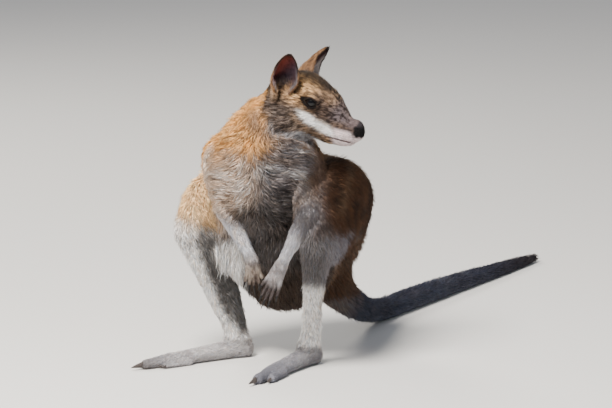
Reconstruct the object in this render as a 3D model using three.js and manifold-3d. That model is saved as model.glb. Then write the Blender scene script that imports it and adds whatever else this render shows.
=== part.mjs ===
// Agile wallaby standing still with its head turned to its left: a life-size model.
// Millimetres, +Z up. The animal faces -Y, its left side is +X, the tail runs to +Y.
// The outer surfaces lie at the tips of the coat.
import * as THREE from "three";
import { mergeVertices } from "three/addons/utils/BufferGeometryUtils.js";
import Module from "manifold-3d";

const wasm = await Module();
wasm.setup();

// ------------------------------------------------------------------ sizes
const GAP = 0.3; // slit left between neighbouring nodes
const SOLE_SINK = 1.4; // how far the rounded soles and tail are cut flat by the floor

// Joints of the skeleton
const HIP_R = [-30, -30, 258], HIP_L = [56, -22, 256];
const KNEE_R = [-86, -180, 205], KNEE_L = [130, -142, 205];
const ANKLE_R = [-53, -112, 38], ANKLE_L = [75, -90, 38];
const HEEL_R = [-41, -87, 0], TOE_R = [-112, -287, 0];
const HEEL_L = [69, -62, 0], TOE_L = [97, -262, 0];
const SHOULDER_R = [-27, -172, 328], SHOULDER_L = [76, -114, 326];
const ELBOW_R = [-17, -177, 249], ELBOW_L = [124, -154, 256];
const WRIST_R = [42, -187, 176], WRIST_L = [96, -185, 175];
const HAND_TIP_R = [50, -193, 138], HAND_TIP_L = [76, -200, 121];

// Head: origin between the cheeks, looking to the animal's left and a little down
const HEAD_ORIGIN = [94, -118, 424];
const HEAD_FORWARD = [0.9636, 0.133, -0.2329];
const EYE_PLACE = [23, 26.5, 6.5]; // forward, sideways, up from the head origin
const EYE_RADIUS = 10.5;
const EAR_BASE_R = [-31.5, -28, 10.5], EAR_BASE_L = [-43, 28, 15];
const EAR_LENGTH = 72, EAR_WALL = 1.6;

// Trunk line from the rump to the base of the neck: x, y, z, half width, half depth
const TRUNK = [
  [13, 52, 190, 44, 46],
  [14, 22, 218, 70, 72],
  [14, -18, 240, 84, 82],
  [12, -68, 254, 88, 86],
  [15, -108, 276, 88, 80],
  [22, -130, 306, 86, 72],
  [28, -138, 336, 78, 60],
  [34, -140, 362, 58, 48],
];
const NECK = [
  [34, -140, 352, 54, 52],
  [50, -137, 382, 44, 44],
  [70, -130, 404, 36, 39],
  [88, -122, 420, 30, 36],
];
// Tail line: x, y, z, half width, half height; the last part lies on the floor
const TAIL = [
  [11, 34, 175, 50, 54], [5, 46, 128, 39, 44], [3, 72, 88, 32, 35], [1, 116, 57, 25, 27],
  [-12, 166, 36, 21, 21], [-26, 215, 24, 19, 19], [-42, 268, 18.5 - SOLE_SINK, 18.5, 18.5],
  [-53, 335, 19 - SOLE_SINK, 18.5, 19], [-66, 420, 18 - SOLE_SINK, 17.5, 18],
  [-82, 525, 16 - SOLE_SINK, 15.5, 16], [-99, 650, 12.5 - SOLE_SINK, 12, 12.5],
  [-113, 745, 9.5, 9, 9], [-121, 803, 8, 5.5, 5.5],
];
// Head along its forward axis: forward, up, half width, half height
const SKULL = [
  [-46, -2, 18, 24], [-28, -4, 27, 38], [-4, -5, 29, 48], [22, -10.5, 28, 44.5],
  [45, -19, 24, 36], [62, -24.5, 20.5, 28], [80, -25.5, 17.5, 21], [92, -22.5, 14, 16.5],
];

// Grid cells of the surfaces
const CELL_BODY = 30, CELL_NECK = 22, CELL_HEAD = 14.8, CELL_SHANK = 18;
const CELL_FOOT = 15, CELL_FOREARM = 12, CELL_HAND = 7.4, CELL_TAIL = 21;

// ------------------------------------------------------------------ vectors
const add = (a, b) => [a[0] + b[0], a[1] + b[1], a[2] + b[2]];
const sub = (a, b) => [a[0] - b[0], a[1] - b[1], a[2] - b[2]];
const mul = (a, s) => [a[0] * s, a[1] * s, a[2] * s];
const dot = (a, b) => a[0] * b[0] + a[1] * b[1] + a[2] * b[2];
const cross = (a, b) => [a[1] * b[2] - a[2] * b[1], a[2] * b[0] - a[0] * b[2], a[0] * b[1] - a[1] * b[0]];
const size = (a) => Math.hypot(a[0], a[1], a[2]);
const unit = (a) => mul(a, 1 / size(a));
const mix = (a, b, t) => add(a, mul(sub(b, a), t));
function frameOf(forward, upHint = [0, 0, 1]) {
  const f = unit(forward);
  const l = unit(cross(upHint, f));
  return [f, l, cross(f, l)];
}
const place = (o, fr, p) => add(o, add(mul(fr[0], p[0]), add(mul(fr[1], p[1]), mul(fr[2], p[2]))));
const HEAD = frameOf(HEAD_FORWARD);
const onHead = (x, y, z) => place(HEAD_ORIGIN, HEAD, [x, y, z]);

// ------------------------------------------------------------------ soft volumes
// Every volume is a function that is negative inside, with a bounding sphere c, R.
function blend(a, b, k) {
  const h = k - Math.abs(a - b);
  return Math.min(a, b) - (k > 0 && h > 0 ? (h * h) / (4 * k) : 0);
}
function ellipsoid(c, r, fr = [[1, 0, 0], [0, 1, 0], [0, 0, 1]]) {
  const fn = (x, y, z) => {
    const d = [x - c[0], y - c[1], z - c[2]];
    const p = dot(d, fr[0]) / r[0], q = dot(d, fr[1]) / r[1], s = dot(d, fr[2]) / r[2];
    const k0 = Math.sqrt(p * p + q * q + s * s);
    if (k0 < 1e-6) return -Math.min(...r);
    const k1 = Math.sqrt((p / r[0]) ** 2 + (q / r[1]) ** 2 + (s / r[2]) ** 2);
    return (k0 * (k0 - 1)) / k1;
  };
  return { fn, c, R: Math.max(...r) };
}
// Elliptical tube along a smooth curve; side is the direction of the half width
function line(stations, steps) {
  const curve = new THREE.CatmullRomCurve3(stations.map((s) => new THREE.Vector3(s[0], s[1], s[2])), false, "centripetal");
  const last = stations.length - 1;
  const rows = [];
  for (let i = 0; i <= steps; i++) {
    const t = i / steps, q = curve.getPoint(t);
    const f = Math.min(last - 1e-9, t * last), j = Math.floor(f), w = f - j;
    const e = 0.5 * w + 0.5 * w * w * (3 - 2 * w);
    const a = stations[j][3] + (stations[j + 1][3] - stations[j][3]) * e;
    const b = stations[j][4] + (stations[j + 1][4] - stations[j][4]) * e;
    rows.push([q.x, q.y, q.z, a, b]);
  }
  return rows;
}
function tube(stations, side, steps) {
  const rows = line(stations, steps);
  const segs = [];
  for (let i = 0; i < steps; i++) {
    const a = rows[i].slice(0, 3), d = sub(rows[i + 1], a), dir = unit(d);
    segs.push({ a, d, L2: dot(d, d), sd: unit(sub(side, mul(dir, dot(side, dir)))), r0: rows[i], r1: rows[i + 1] });
  }
  const fn = (x, y, z) => {
    let best = 1e9;
    for (const s of segs) {
      const p = [x - s.a[0], y - s.a[1], z - s.a[2]];
      const t = Math.min(1, Math.max(0, dot(p, s.d) / s.L2));
      const o = sub(p, mul(s.d, t));
      const rs = s.r0[3] + (s.r1[3] - s.r0[3]) * t, ru = s.r0[4] + (s.r1[4] - s.r0[4]) * t;
      const ls = dot(o, s.sd), rest = Math.max(0, dot(o, o) - ls * ls);
      const q = Math.sqrt((ls * ls) / (rs * rs) + rest / (ru * ru));
      const d = q > 1e-6 ? Math.sqrt(ls * ls + rest) * (1 - 1 / q) : -Math.min(rs, ru);
      if (d < best) best = d;
    }
    return best;
  };
  let c = [0, 0, 0];
  rows.forEach((p) => (c = add(c, mul(p, 1 / rows.length))));
  return { fn, c, R: Math.max(...rows.map((p) => size(sub(p, c)) + Math.max(p[3], p[4]))) };
}
// Straight limb piece with round ends
function limb(a, b, ra, rb) {
  const d = sub(b, a), L2 = dot(d, d);
  const fn = (x, y, z) => {
    const p = [x - a[0], y - a[1], z - a[2]];
    const t = Math.min(1, Math.max(0, dot(p, d) / L2));
    return size(sub(p, mul(d, t))) - (ra + (rb - ra) * t);
  };
  return { fn, c: mix(a, b, 0.5), R: Math.sqrt(L2) / 2 + Math.max(ra, rb) };
}
// Volumes blended in turn: list of [volume, blend radius]
function group(list) {
  return (x, y, z) => {
    let d = 1e9;
    for (const [p, k] of list) {
      if (size([x - p.c[0], y - p.c[1], z - p.c[2]]) - p.R > d + k) continue;
      d = blend(d, p.fn(x, y, z), k);
    }
    return d;
  };
}
const together = (parts) => (x, y, z) => parts.reduce((d, [fn, k]) => (d === null ? fn(x, y, z) : blend(d, fn(x, y, z), k)), null);

// ------------------------------------------------------------------ anatomy
const trunk = tube(TRUNK, unit([0.93, 0.36, 0]), 28);
const belly = ellipsoid([12, -104, 222], [84, 70, 88]);
const paunch = ellipsoid([10, -50, 166], [74, 76, 93]);
const fold = limb([-62, -140, 186], [2, -85, 112], 26, 30); // flank fold, from the knee to the belly
const chest = ellipsoid([32, -158, 306], [60, 42, 52], frameOf([0.87, 0.5, 0]));
const withers = ellipsoid([24, -104, 330], [52, 46, 52]);
const neck = tube(NECK, unit([0.98, 0.17, 0]), 10);
const tail = tube(TAIL, [1, 0, 0], 44);

const skullRows = SKULL.map(([x, z, a, b]) => [...onHead(x, 0, z), a, b]);
const headList = [[tube(skullRows, HEAD[1], 20), 0]];
for (const s of [-1, 1]) {
  headList.push([ellipsoid(onHead(6, 17 * s, -20), [30, 16, 24], HEAD), 16]); // cheek
  headList.push([ellipsoid(onHead(22, 20 * s, 15), [15, 10, 9], HEAD), 8]); // brow
}
headList.push([ellipsoid(onHead(92, 0, -17), [10.5, 12, 13], HEAD), 8]); // nose
headList.push([ellipsoid(onHead(73, 0, -41), [20, 9.5, 7.5], HEAD), 8]); // chin

// Hind leg. s is -1 on the animal's right and +1 on its left.
function haunchParts(hip, knee, s) {
  const rump = s < 0 ? [-8, 0, 15] : [10, 12, 10];
  return [[tube([
    [...add(add(hip, [s * 2, 34, -22]), rump), 34, 52],
    [...add(add(mix(hip, knee, 0.25), [s * 8, 0, -4]), rump), 40, 74],
    [...add(mix(hip, knee, 0.68), [s * 12, 6, 14]), s < 0 ? 36 : 33, 68],
    [...add(knee, [-s * 2, 8, 4]), 25, 34],
  ], unit([s, -0.15, 0]), 12), 0]];
}
function lowerLegParts(knee, ankle, heel, toe, s) {
  const fd = unit(sub(toe, heel)), fl = cross([0, 0, 1], fd), L = size(sub(toe, heel));
  const back = unit(sub([heel[0], heel[1], ankle[2]], ankle));
  const at = (t, o, r) => add(heel, add(mul(fd, t * L), add(mul(fl, o), [0, 0, r - SOLE_SINK])));
  const parts = [];
  parts.push([tube([
    [...add(knee, [-s * 1, 5, 2]), 24, 32],
    [...add(mix(knee, ankle, 0.25), mul(back, s < 0 ? 9 : 6)), 19, s < 0 ? 33 : 26],
    [...add(mix(knee, ankle, 0.6), mul(back, s < 0 ? 9 : 5)), 14, s < 0 ? 29 : 19],
    [...add(mix(knee, ankle, 0.88), mul(back, s < 0 ? 5 : 3)), 13, s < 0 ? 21 : 17],
    [...ankle, 14, 17],
  ], fl, 12), 0]);
  const hb = at(0, 0, 15);
  parts.push([limb(add(mix(knee, ankle, 0.72), mul(back, 14)), add(hb, mul(fd, 14)), 8, 12), 14]); // tendon
  parts.push([limb(add(hb, mul(fd, 13)), add(ankle, [0, 0, -14]), 14, 15), 10]); // heel
  parts.push([tube([
    [...at(0.1, 0, 15), 14, 15],
    [...at(0.28, 0, 14.5), 13.5, 14.5],
    [...at(0.5, 0, 12.5), 13.5, 12.5],
    [...at(0.64, 0, 11.2), 14.5, 11.2],
    [...at(0.73, 0, 9), 11, 9],
  ], fl, 12), 12]); // metatarsus
  return parts;
}
// Toes: name, place of root and tip (share of the foot's length, towards the outside), radii, claw length and radius
const TOES = [
  ["fourth", 0.7, 1, 0.93, 1, 11.2, 8.2, 21, 5],
  ["fifth", 0.6, 9.5, 0.83, 15.5, 8.4, 6.4, 13, 3.6],
  ["third", 0.58, -8.5, 0.79, -9.2, 6, 3.6, 8, 2.2],
  ["second", 0.56, -10.5, 0.785, -15.2, 5.6, 3.5, 8, 2.2],
];
const legs = {
  right: { s: -1, hip: HIP_R, knee: KNEE_R, ankle: ANKLE_R, heel: HEEL_R, toe: TOE_R },
  left: { s: 1, hip: HIP_L, knee: KNEE_L, ankle: ANKLE_L, heel: HEEL_L, toe: TOE_L },
};
// Fore limb
function upperArmParts(sh, el) {
  return [[ellipsoid(add(mix(sh, el, 0.08), [0, 0, -4]), [30, 30, 40]), 0], [limb(sh, el, 27, 17.5), 22]];
}
function forearmParts(el, wr) {
  return [[tube([
    [...el, 17, 17], [...mix(el, wr, 0.3), 14.6, 13.2], [...mix(el, wr, 0.75), 9.8, 9], [...wr, 9.6, 8],
  ], [1, 0, 0], 10), 0]];
}
// Fingers from the thumb to the fifth: side offset, spread, length share
const FINGERS = [[-8.3, -6, 0.6], [-4.3, -3.2, 0.92], [0, 0, 1], [4.3, 3.2, 0.94], [8.1, 6.4, 0.7]];
function handLayout(wr, tip, s) {
  const L = size(sub(tip, wr)), d = unit(sub(tip, wr)), across = unit(cross(d, [0.5, -0.86, 0.2]));
  return FINGERS.map(([o, spread, share]) => {
    const root = add(wr, add(mul(d, 15), mul(across, -s * o)));
    const end = add(root, add(mul(d, (L - 15) * share), mul(across, -s * spread)));
    return { root, end, dir: unit(sub(end, root)), curl: unit(cross(d, across)) };
  });
}
function handParts(wr, tip) {
  const d = unit(sub(tip, wr));
  return [[ellipsoid(add(wr, mul(d, 11)), [18, 11.2, 8], frameOf(d, [0.5, -0.86, 0])), 0]];
}
const arms = {
  right: { s: -1, sh: SHOULDER_R, el: ELBOW_R, wr: WRIST_R, tip: HAND_TIP_R },
  left: { s: 1, sh: SHOULDER_L, el: ELBOW_L, wr: WRIST_L, tip: HAND_TIP_L },
};
for (const g of Object.values(legs)) {
  g.haunch = group(haunchParts(g.hip, g.knee, g.s));
  g.lower = group(lowerLegParts(g.knee, g.ankle, g.heel, g.toe, g.s));
}
for (const a of Object.values(arms)) {
  a.upper = group(upperArmParts(a.sh, a.el));
  a.fore = group(forearmParts(a.el, a.wr));
  a.hand = group(handParts(a.wr, a.tip));
}
const torso = group([[trunk, 0], [belly, 40], [paunch, 30], [fold, 24], [chest, 40], [withers, 46], [neck, 30], [tail, 40]]);
const headShape = group(headList);
const trunkField = together([[torso, 0], [legs.right.haunch, 26], [legs.left.haunch, 26], [arms.right.upper, 26], [arms.left.upper, 26]]);
const neckField = together([[torso, 0], [headShape, 26]]);
const headField = together([[group([[neck, 0]]), 0], [headShape, 26]]);

// ------------------------------------------------------------------ surfaces
// Closed surface of a volume inside a box, on a grid of the given cell
function surface(field, lo, hi, cell) {
  const inner = (x, y, z) => Math.max(field(x, y, z), lo[0] + cell - x, x - hi[0] + cell, lo[1] + cell - y, y - hi[1] + cell, lo[2] + cell - z, z - hi[2] + cell);
  const n = [0, 1, 2].map((i) => Math.ceil((hi[i] - lo[i]) / cell) + 2);
  const val = new Float64Array(n[0] * n[1] * n[2]);
  const id = (i, j, k) => (k * n[1] + j) * n[0] + i;
  for (let k = 0; k < n[2]; k++) for (let j = 0; j < n[1]; j++) for (let i = 0; i < n[0]; i++)
    val[id(i, j, k)] = inner(lo[0] + i * cell, lo[1] + j * cell, lo[2] + k * cell);
  const vertexOf = new Map(), verts = [];
  const corner = [[0, 0, 0], [1, 0, 0], [0, 1, 0], [1, 1, 0], [0, 0, 1], [1, 0, 1], [0, 1, 1], [1, 1, 1]];
  const edges = [[0, 1], [2, 3], [4, 5], [6, 7], [0, 2], [1, 3], [4, 6], [5, 7], [0, 4], [1, 5], [2, 6], [3, 7]];
  for (let k = 0; k < n[2] - 1; k++) for (let j = 0; j < n[1] - 1; j++) for (let i = 0; i < n[0] - 1; i++) {
    const v = corner.map((c) => val[id(i + c[0], j + c[1], k + c[2])]);
    let p = [0, 0, 0], m = 0;
    for (const [a, b] of edges) if ((v[a] < 0) !== (v[b] < 0)) {
      const t = v[a] / (v[a] - v[b]);
      p = add(p, mix(corner[a], corner[b], t));
      m++;
    }
    if (!m) continue;
    p = add(lo, mul(add([i, j, k], mul(p, 1 / m)), cell));
    const start = p;
    for (let r = 0; r < 4; r++) {
      const e = 0.4, f = inner(...p);
      const g = [inner(p[0] + e, p[1], p[2]) - f, inner(p[0], p[1] + e, p[2]) - f, inner(p[0], p[1], p[2] + e) - f].map((q) => q / e);
      const g2 = Math.max(0.2, dot(g, g));
      p = sub(p, mul(g, f / g2));
      p = p.map((q, a) => Math.min(start[a] + cell * 0.42, Math.max(start[a] - cell * 0.42, q)));
    }
    vertexOf.set(id(i, j, k), verts.length);
    verts.push(p);
  }
  const tris = [];
  const quad = (a, b, c, d, flip) => {
    const [A, B, C, D] = [a, b, c, d].map((q) => vertexOf.get(q));
    const ac = size(sub(verts[A], verts[C])), bd = size(sub(verts[B], verts[D]));
    const t = ac < bd ? [[A, B, C], [A, C, D]] : [[A, B, D], [B, C, D]];
    for (const [p, q, r] of t) tris.push(...(flip ? [p, r, q] : [p, q, r]));
  };
  for (let k = 1; k < n[2] - 1; k++) for (let j = 1; j < n[1] - 1; j++) for (let i = 1; i < n[0] - 1; i++) {
    const v = val[id(i, j, k)] < 0;
    if (v !== val[id(i + 1, j, k)] < 0) quad(id(i, j - 1, k - 1), id(i, j, k - 1), id(i, j, k), id(i, j - 1, k), !v);
    if (v !== val[id(i, j + 1, k)] < 0) quad(id(i - 1, j, k - 1), id(i - 1, j, k), id(i, j, k), id(i, j, k - 1), !v);
    if (v !== val[id(i, j, k + 1)] < 0) quad(id(i - 1, j - 1, k), id(i, j - 1, k), id(i, j, k), id(i - 1, j, k), !v);
  }
  return solid(verts.flat(), tris);
}
// ------------------------------------------------------------------ solids
function solid(positions, indices) {
  return new wasm.Manifold(new wasm.Mesh({ numProp: 3, vertProperties: new Float32Array(positions), triVerts: new Uint32Array(indices) }));
}
function fromGeometry(geometry, matrix) {
  let g = geometry.clone();
  g.deleteAttribute("normal");
  g.deleteAttribute("uv");
  if (matrix) g.applyMatrix4(matrix);
  g = mergeVertices(g, 1e-4);
  return solid(g.attributes.position.array, g.index.array);
}
// Block whose lower face passes through a point and whose height follows a direction
function block(point, normal, width = 2600, height = 2600, shift = 0) {
  const fr = frameOf(normal, Math.abs(unit(normal)[2]) > 0.9 ? [0, 1, 0] : [0, 0, 1]);
  const m = new THREE.Matrix4().makeBasis(new THREE.Vector3(...fr[1]), new THREE.Vector3(...fr[2]), new THREE.Vector3(...fr[0]));
  m.setPosition(new THREE.Vector3(...add(point, mul(fr[0], height / 2 + shift))));
  return fromGeometry(new THREE.BoxGeometry(width, width, height), m);
}
// Keeps the part of a solid on the far or near side of a plane, half a gap away from it
const keepBefore = (m, point, normal) => m.subtract(block(point, normal, 2600, 2600, -GAP / 2));
const keepBeyond = (m, point, normal) => m.subtract(block(point, mul(normal, -1), 2600, 2600, -GAP / 2));
const overFloor = (m) => m.subtract(block([0, 0, 0], [0, 0, -1]));

// Prism of an outline drawn in the (a, z) plane and pushed along a level direction
function prism(outline, origin, along, depth, grow = 0) {
  const out = unit(along), a = cross([0, 0, 1], out);
  const curve = new THREE.CatmullRomCurve3(outline.map(([u, v]) => new THREE.Vector3(u, v, 0)), true, "centripetal");
  const base = curve.getPoints(26).slice(0, -1);
  const turn = Math.sign(THREE.ShapeUtils.area(base.map((p) => new THREE.Vector2(p.x, p.y))));
  const ring = base.map((p, i) => {
    const q = base[(i + 1) % base.length], r = base[(i + base.length - 1) % base.length];
    const t = new THREE.Vector2(q.x - r.x, q.y - r.y).normalize();
    return new THREE.Vector2(p.x + t.y * grow * turn, p.y - t.x * grow * turn);
  });
  if (turn < 0) ring.reverse();
  const g = new THREE.ExtrudeGeometry(new THREE.Shape(ring), { depth: depth + grow, bevelEnabled: false, steps: 1 });
  const m = new THREE.Matrix4().makeBasis(new THREE.Vector3(...a), new THREE.Vector3(0, 0, 1), new THREE.Vector3(...cross(a, [0, 0, 1])));
  const dir = cross(a, [0, 0, 1]);
  const flip = dot(dir, out) > 0 ? 1 : -1;
  if (flip < 0) throw new Error("outline frame");
  m.setPosition(new THREE.Vector3(...sub(origin, mul(out, grow))));
  return fromGeometry(g, m);
}
// Loft of rings of points, closed at both ends
function loft(rings) {
  const n = rings[0].length, pos = rings.flat(), idx = [];
  for (let i = 0; i + 1 < rings.length; i++) for (let j = 0; j < n; j++) {
    const a = i * n + j, b = i * n + ((j + 1) % n), c = a + n, d = b + n;
    idx.push(a, b, d, a, d, c);
  }
  const capA = pos.length, capB = capA + 1;
  const centre = (r) => mul(r.reduce((p, q) => add(p, q), [0, 0, 0]), 1 / r.length);
  pos.push(centre(rings[0]), centre(rings[rings.length - 1]));
  const base = (rings.length - 1) * n;
  for (let j = 0; j < n; j++) {
    idx.push(capA, (j + 1) % n, j);
    idx.push(capB, base + j, base + ((j + 1) % n));
  }
  let s = solid(pos.flat(), idx);
  return s;
}
// Finger or toe: a short round loft with knuckles and a flat end that carries the claw
function digit(root, end, r0, r1) {
  const d = unit(sub(end, root)), side = unit(cross(d, [0, 0, 1])), up = cross(side, d);
  const rings = [[0, 0.95], [0.55, 0.96], [0.86, 1.05], [1, 0.78]].map(([t, swell]) => {
    const c = mix(root, end, t), r = (r0 + (r1 - r0) * t) * swell;
    return [...Array(6).keys()].map((j) => {
      const q = ((j + 0.5) / 6) * 2 * Math.PI;
      return add(c, add(mul(side, Math.cos(q) * r), mul(up, -Math.sin(q) * r)));
    });
  });
  return loft(rings);
}
// Claw: a curved cone on a flat base, bending towards curl
function claw(base, dir, curl, length, radius, bend) {
  const side = unit(cross(dir, curl)), rings = [];
  for (let i = 0; i <= 3; i++) {
    const t = i / 3, r = radius * (1 - t) ** 0.7 * (1 - 0.1 * t) + 0.35;
    const c = add(base, add(mul(dir, length * t), mul(curl, bend * length * t * t)));
    const d = unit(add(dir, mul(curl, 2 * bend * t)));
    const up = cross(side, d);
    rings.push([...Array(5).keys()].map((j) => {
      const q = (j / 5) * 2 * Math.PI;
      return add(c, add(mul(side, Math.cos(q) * r * 0.82), mul(up, -Math.sin(q) * r * 1.1)));
    }));
  }
  return loft(rings);
}
// Ear: a rolled leaf with a cup that opens forward and outward
function ear(base, along, opening) {
  const d = unit(along), o = unit(sub(opening, mul(d, dot(opening, d)))), e = cross(d, o);
  const U = 6, T = 6, outer = [], inner = [];
  for (let i = 0; i <= T; i++) {
    const t = i / T;
    const width = 19.5 * Math.sin(Math.PI * Math.min(1, 0.24 + 0.76 * t) ** 1.12) ** 0.62 + 1.6;
    const half = THREE.MathUtils.lerp(2.5, 1.15, Math.min(1, t * 1.5));
    const round = THREE.MathUtils.lerp(12.5, width / Math.min(1, Math.sin(Math.min(half, 1.57))), Math.min(1, t * 2.4));
    const wall = THREE.MathUtils.lerp(8.5, EAR_WALL * 1.5, Math.min(1, t * 2.6));
    const lift = EAR_LENGTH * t, lean = -5 * t * t;
    for (let j = 0; j <= U; j++) {
      const q = -half + (2 * half * j) / U;
      const point = (r) => add(base, add(mul(d, lift), add(mul(e, Math.sin(q) * r), mul(o, round * 0.55 - Math.cos(q) * r + lean + 3))));
      outer.push(point(round));
      inner.push(point(Math.max(1.2, round - wall)));
    }
  }
  const n = (T + 1) * (U + 1), pos = [...outer, ...inner].flat(), idx = [];
  const O = (i, j) => i * (U + 1) + j, I = (i, j) => n + i * (U + 1) + j;
  const q4 = (a, b, c, dd) => idx.push(a, b, c, a, c, dd);
  for (let i = 0; i < T; i++) for (let j = 0; j < U; j++) {
    q4(O(i, j), O(i, j + 1), O(i + 1, j + 1), O(i + 1, j));
    q4(I(i, j), I(i + 1, j), I(i + 1, j + 1), I(i, j + 1));
  }
  for (let i = 0; i < T; i++) {
    q4(O(i, 0), O(i + 1, 0), I(i + 1, 0), I(i, 0));
    q4(O(i, U), I(i, U), I(i + 1, U), O(i + 1, U));
  }
  for (let j = 0; j < U; j++) {
    q4(O(0, j), I(0, j), I(0, j + 1), O(0, j + 1));
    q4(O(T, j), O(T, j + 1), I(T, j + 1), I(T, j));
  }
  return { pos, idx };
}
function orient(pos, idx) {
  let v = 0;
  for (let i = 0; i < idx.length; i += 3) {
    const [a, b, c] = [0, 1, 2].map((k) => pos.slice(idx[i + k] * 3, idx[i + k] * 3 + 3));
    v += dot(a, cross(b, c));
  }
  if (v < 0) for (let i = 0; i < idx.length; i += 3) [idx[i + 1], idx[i + 2]] = [idx[i + 2], idx[i + 1]];
  return solid(pos, idx);
}

// ------------------------------------------------------------------ nodes
const nodes = new Map();
const bodyMesh = surface(trunkField, [-190, -260, 50], [230, 140, 430], CELL_BODY);

// Planes where the nodes meet: a point and the direction away from the trunk
const NECK_CUT = [[42, -140, 374], unit([0.3, 0.08, 0.95])];
const HEAD_CUT = [onHead(-36, 0, -21), add(mul(HEAD[0], 0.889), mul(HEAD[2], 0.459))];
const TAIL_CUT = [[4, 60, 112], unit([-0.04, 0.85, -0.52])];
const TAIL_CUT_2 = [[-24, 208, 22], unit([-0.28, 0.95, -0.15])];
const TAIL_CUT_3 = [[-80, 512, 12.2], unit([-0.15, 0.99, 0])];

// Thigh outline seen from the side, as distance in front of the hip line and height
const THIGH = [[70, 215], [40, 160], [-20, 140], [-90, 138], [-150, 138], [-225, 150], [-245, 200], [-215, 262], [-150, 312], [-70, 330], [10, 312], [55, 270]];
// Inner faces of the thighs: two points of a level line
const THIGH_R = [[-24, 60], [-56, -195]], THIGH_L = [[46, 60], [103, -178]];
function thighPrism(g, face, grow) {
  const [a, b] = face, along = unit([b[0] - a[0], b[1] - a[1], 0]);
  const out = g.s > 0 ? cross([0, 0, 1], along) : cross(along, [0, 0, 1]);
  const side = dot(out, [g.s, 0, 0]) > 0 ? out : mul(out, -1);
  const u = cross([0, 0, 1], side); // level axis of the outline
  const sign = dot(u, [0, 1, 0]) > 0 ? 1 : -1;
  return prism(THIGH.map(([y, z]) => [sign * y, z]), [a[0], a[1] - 60, 0], side, 260, grow);
}
// Upper arm outline seen from the side of the chest, around the arm line
function armPrism(a, grow) {
  const out = a.s > 0 ? unit([0.866, 0.5, 0]) : unit([-0.866, -0.5, 0]);
  const u = cross([0, 0, 1], out);
  const S = [dot(a.sh, u), a.sh[2]], E = [dot(a.el, u), a.el[2]];
  const o = mul(out, dot(mix(a.sh, a.el, 0.5), out) - 14);
  const pts = [
    [S[0] - 34, S[1] - 12], [S[0] - 26, S[1] + 24], [S[0], S[1] + 36], [S[0] + 26, S[1] + 24], [S[0] + 34, S[1] - 12],
    [E[0] + 27, E[1] + 14], [E[0] + 24, E[1] - 20], [E[0], E[1] - 32], [E[0] - 24, E[1] - 20], [E[0] - 27, E[1] + 14],
  ];
  return prism(pts, o, out, 60, grow);
}
const headBlob = surface(headField, [10, -220, 330], [240, -20, 500], CELL_HEAD);
const neckBlob = surface(neckField, [-60, -230, 330], [170, -30, 480], CELL_NECK);

const bodySolid = keepBefore(keepBefore(bodyMesh, ...NECK_CUT), ...TAIL_CUT);
let trunkSolid = bodySolid;
for (const [side, g] of Object.entries(legs)) {
  const face = side === "right" ? THIGH_R : THIGH_L;
  // the shank stands in a socket of the thigh
  const kneeDir = unit(sub(g.ankle, g.knee)), top = [add(g.knee, mul(kneeDir, 14)), kneeDir];
  const lo = [Math.min(g.knee[0], g.ankle[0]) - 60, g.knee[1] - 60, 10], hi = [Math.max(g.knee[0], g.ankle[0]) + 60, g.heel[1] + 70, 300];
  g.shank = keepBeyond(surface(g.lower, lo, hi, CELL_SHANK), ...top);
  const room = surface((x, y, z) => g.lower(x, y, z) - 2.4, lo, hi, CELL_SHANK).subtract(block(top[0], mul(top[1], -1), 2600, 2600, GAP / 2));
  let thigh = bodySolid.intersect(thighPrism(g, face, -GAP)).subtract(room);
  for (const a of Object.values(arms)) thigh = thigh.subtract(armPrism(a, 0.3));
  nodes.set(`thigh_${side}`, thigh);
  trunkSolid = trunkSolid.subtract(thighPrism(g, face, 0)).subtract(room);
}
for (const [side, a] of Object.entries(arms)) {
  const dir = unit(add(unit(sub(a.el, a.sh)), unit(sub(a.wr, a.el))));
  a.elbowCut = [a.el, dir];
  const arm = bodySolid.intersect(armPrism(a, -GAP));
  nodes.set(`upper_arm_${side}`, keepBefore(arm, ...a.elbowCut));
  trunkSolid = trunkSolid.subtract(armPrism(a, 0));
}
// Forearms and hands, and the room they need in front of the belly
for (const [side, a] of Object.entries(arms)) {
  const wristDir = unit(sub(a.tip, a.wr));
  const lo = [Math.min(a.el[0], a.wr[0]) - 50, Math.min(a.el[1], a.wr[1]) - 50, a.tip[2] - 40];
  const hi = [Math.max(a.el[0], a.wr[0]) + 50, Math.max(a.el[1], a.wr[1]) + 50, a.el[2] + 60];
  const lower = together([[a.fore, 0], [a.hand, 8], [group([[limb(a.sh, a.el, 27, 17.5), 0]]), 10]]);
  let fore = surface(lower, lo, hi, CELL_FOREARM);
  fore = keepBefore(keepBeyond(fore, ...a.elbowCut), add(a.wr, mul(wristDir, -4)), wristDir);
  const grown = surface((x, y, z) => lower(x, y, z) - 2.2, lo, hi, CELL_FOREARM);
  a.room = keepBeyond(grown, ...a.elbowCut);
  nodes.set(`forearm_${side}`, fore);
  let hand = surface(lower, [a.wr[0] - 45, a.wr[1] - 45, a.tip[2] - 20], [a.wr[0] + 45, a.wr[1] + 45, a.wr[2] + 30], CELL_HAND);
  hand = keepBeyond(hand, add(a.wr, mul(wristDir, -4)), wristDir);
  handLayout(a.wr, a.tip, a.s).forEach((f, i) => {
    const at = f.end;
    hand = hand.add(digit(f.root, f.end, 3.7, 2.9));
    nodes.set(`claw_hand_${side}_${i + 1}`, claw(add(at, mul(f.dir, GAP)), f.dir, f.curl, i === 0 || i === 4 ? 11 : 17, 2.6, 0.2));
  });
  nodes.set(`hand_${side}`, hand);
}
for (const a of Object.values(arms)) trunkSolid = trunkSolid.subtract(a.room);
for (const side of ["left", "right"]) for (const a of Object.values(arms)) {
  nodes.set(`thigh_${side}`, nodes.get(`thigh_${side}`).subtract(a.room));
}
nodes.set("trunk", trunkSolid);
nodes.set("neck", keepBefore(keepBeyond(neckBlob, ...NECK_CUT), ...HEAD_CUT));

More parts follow.
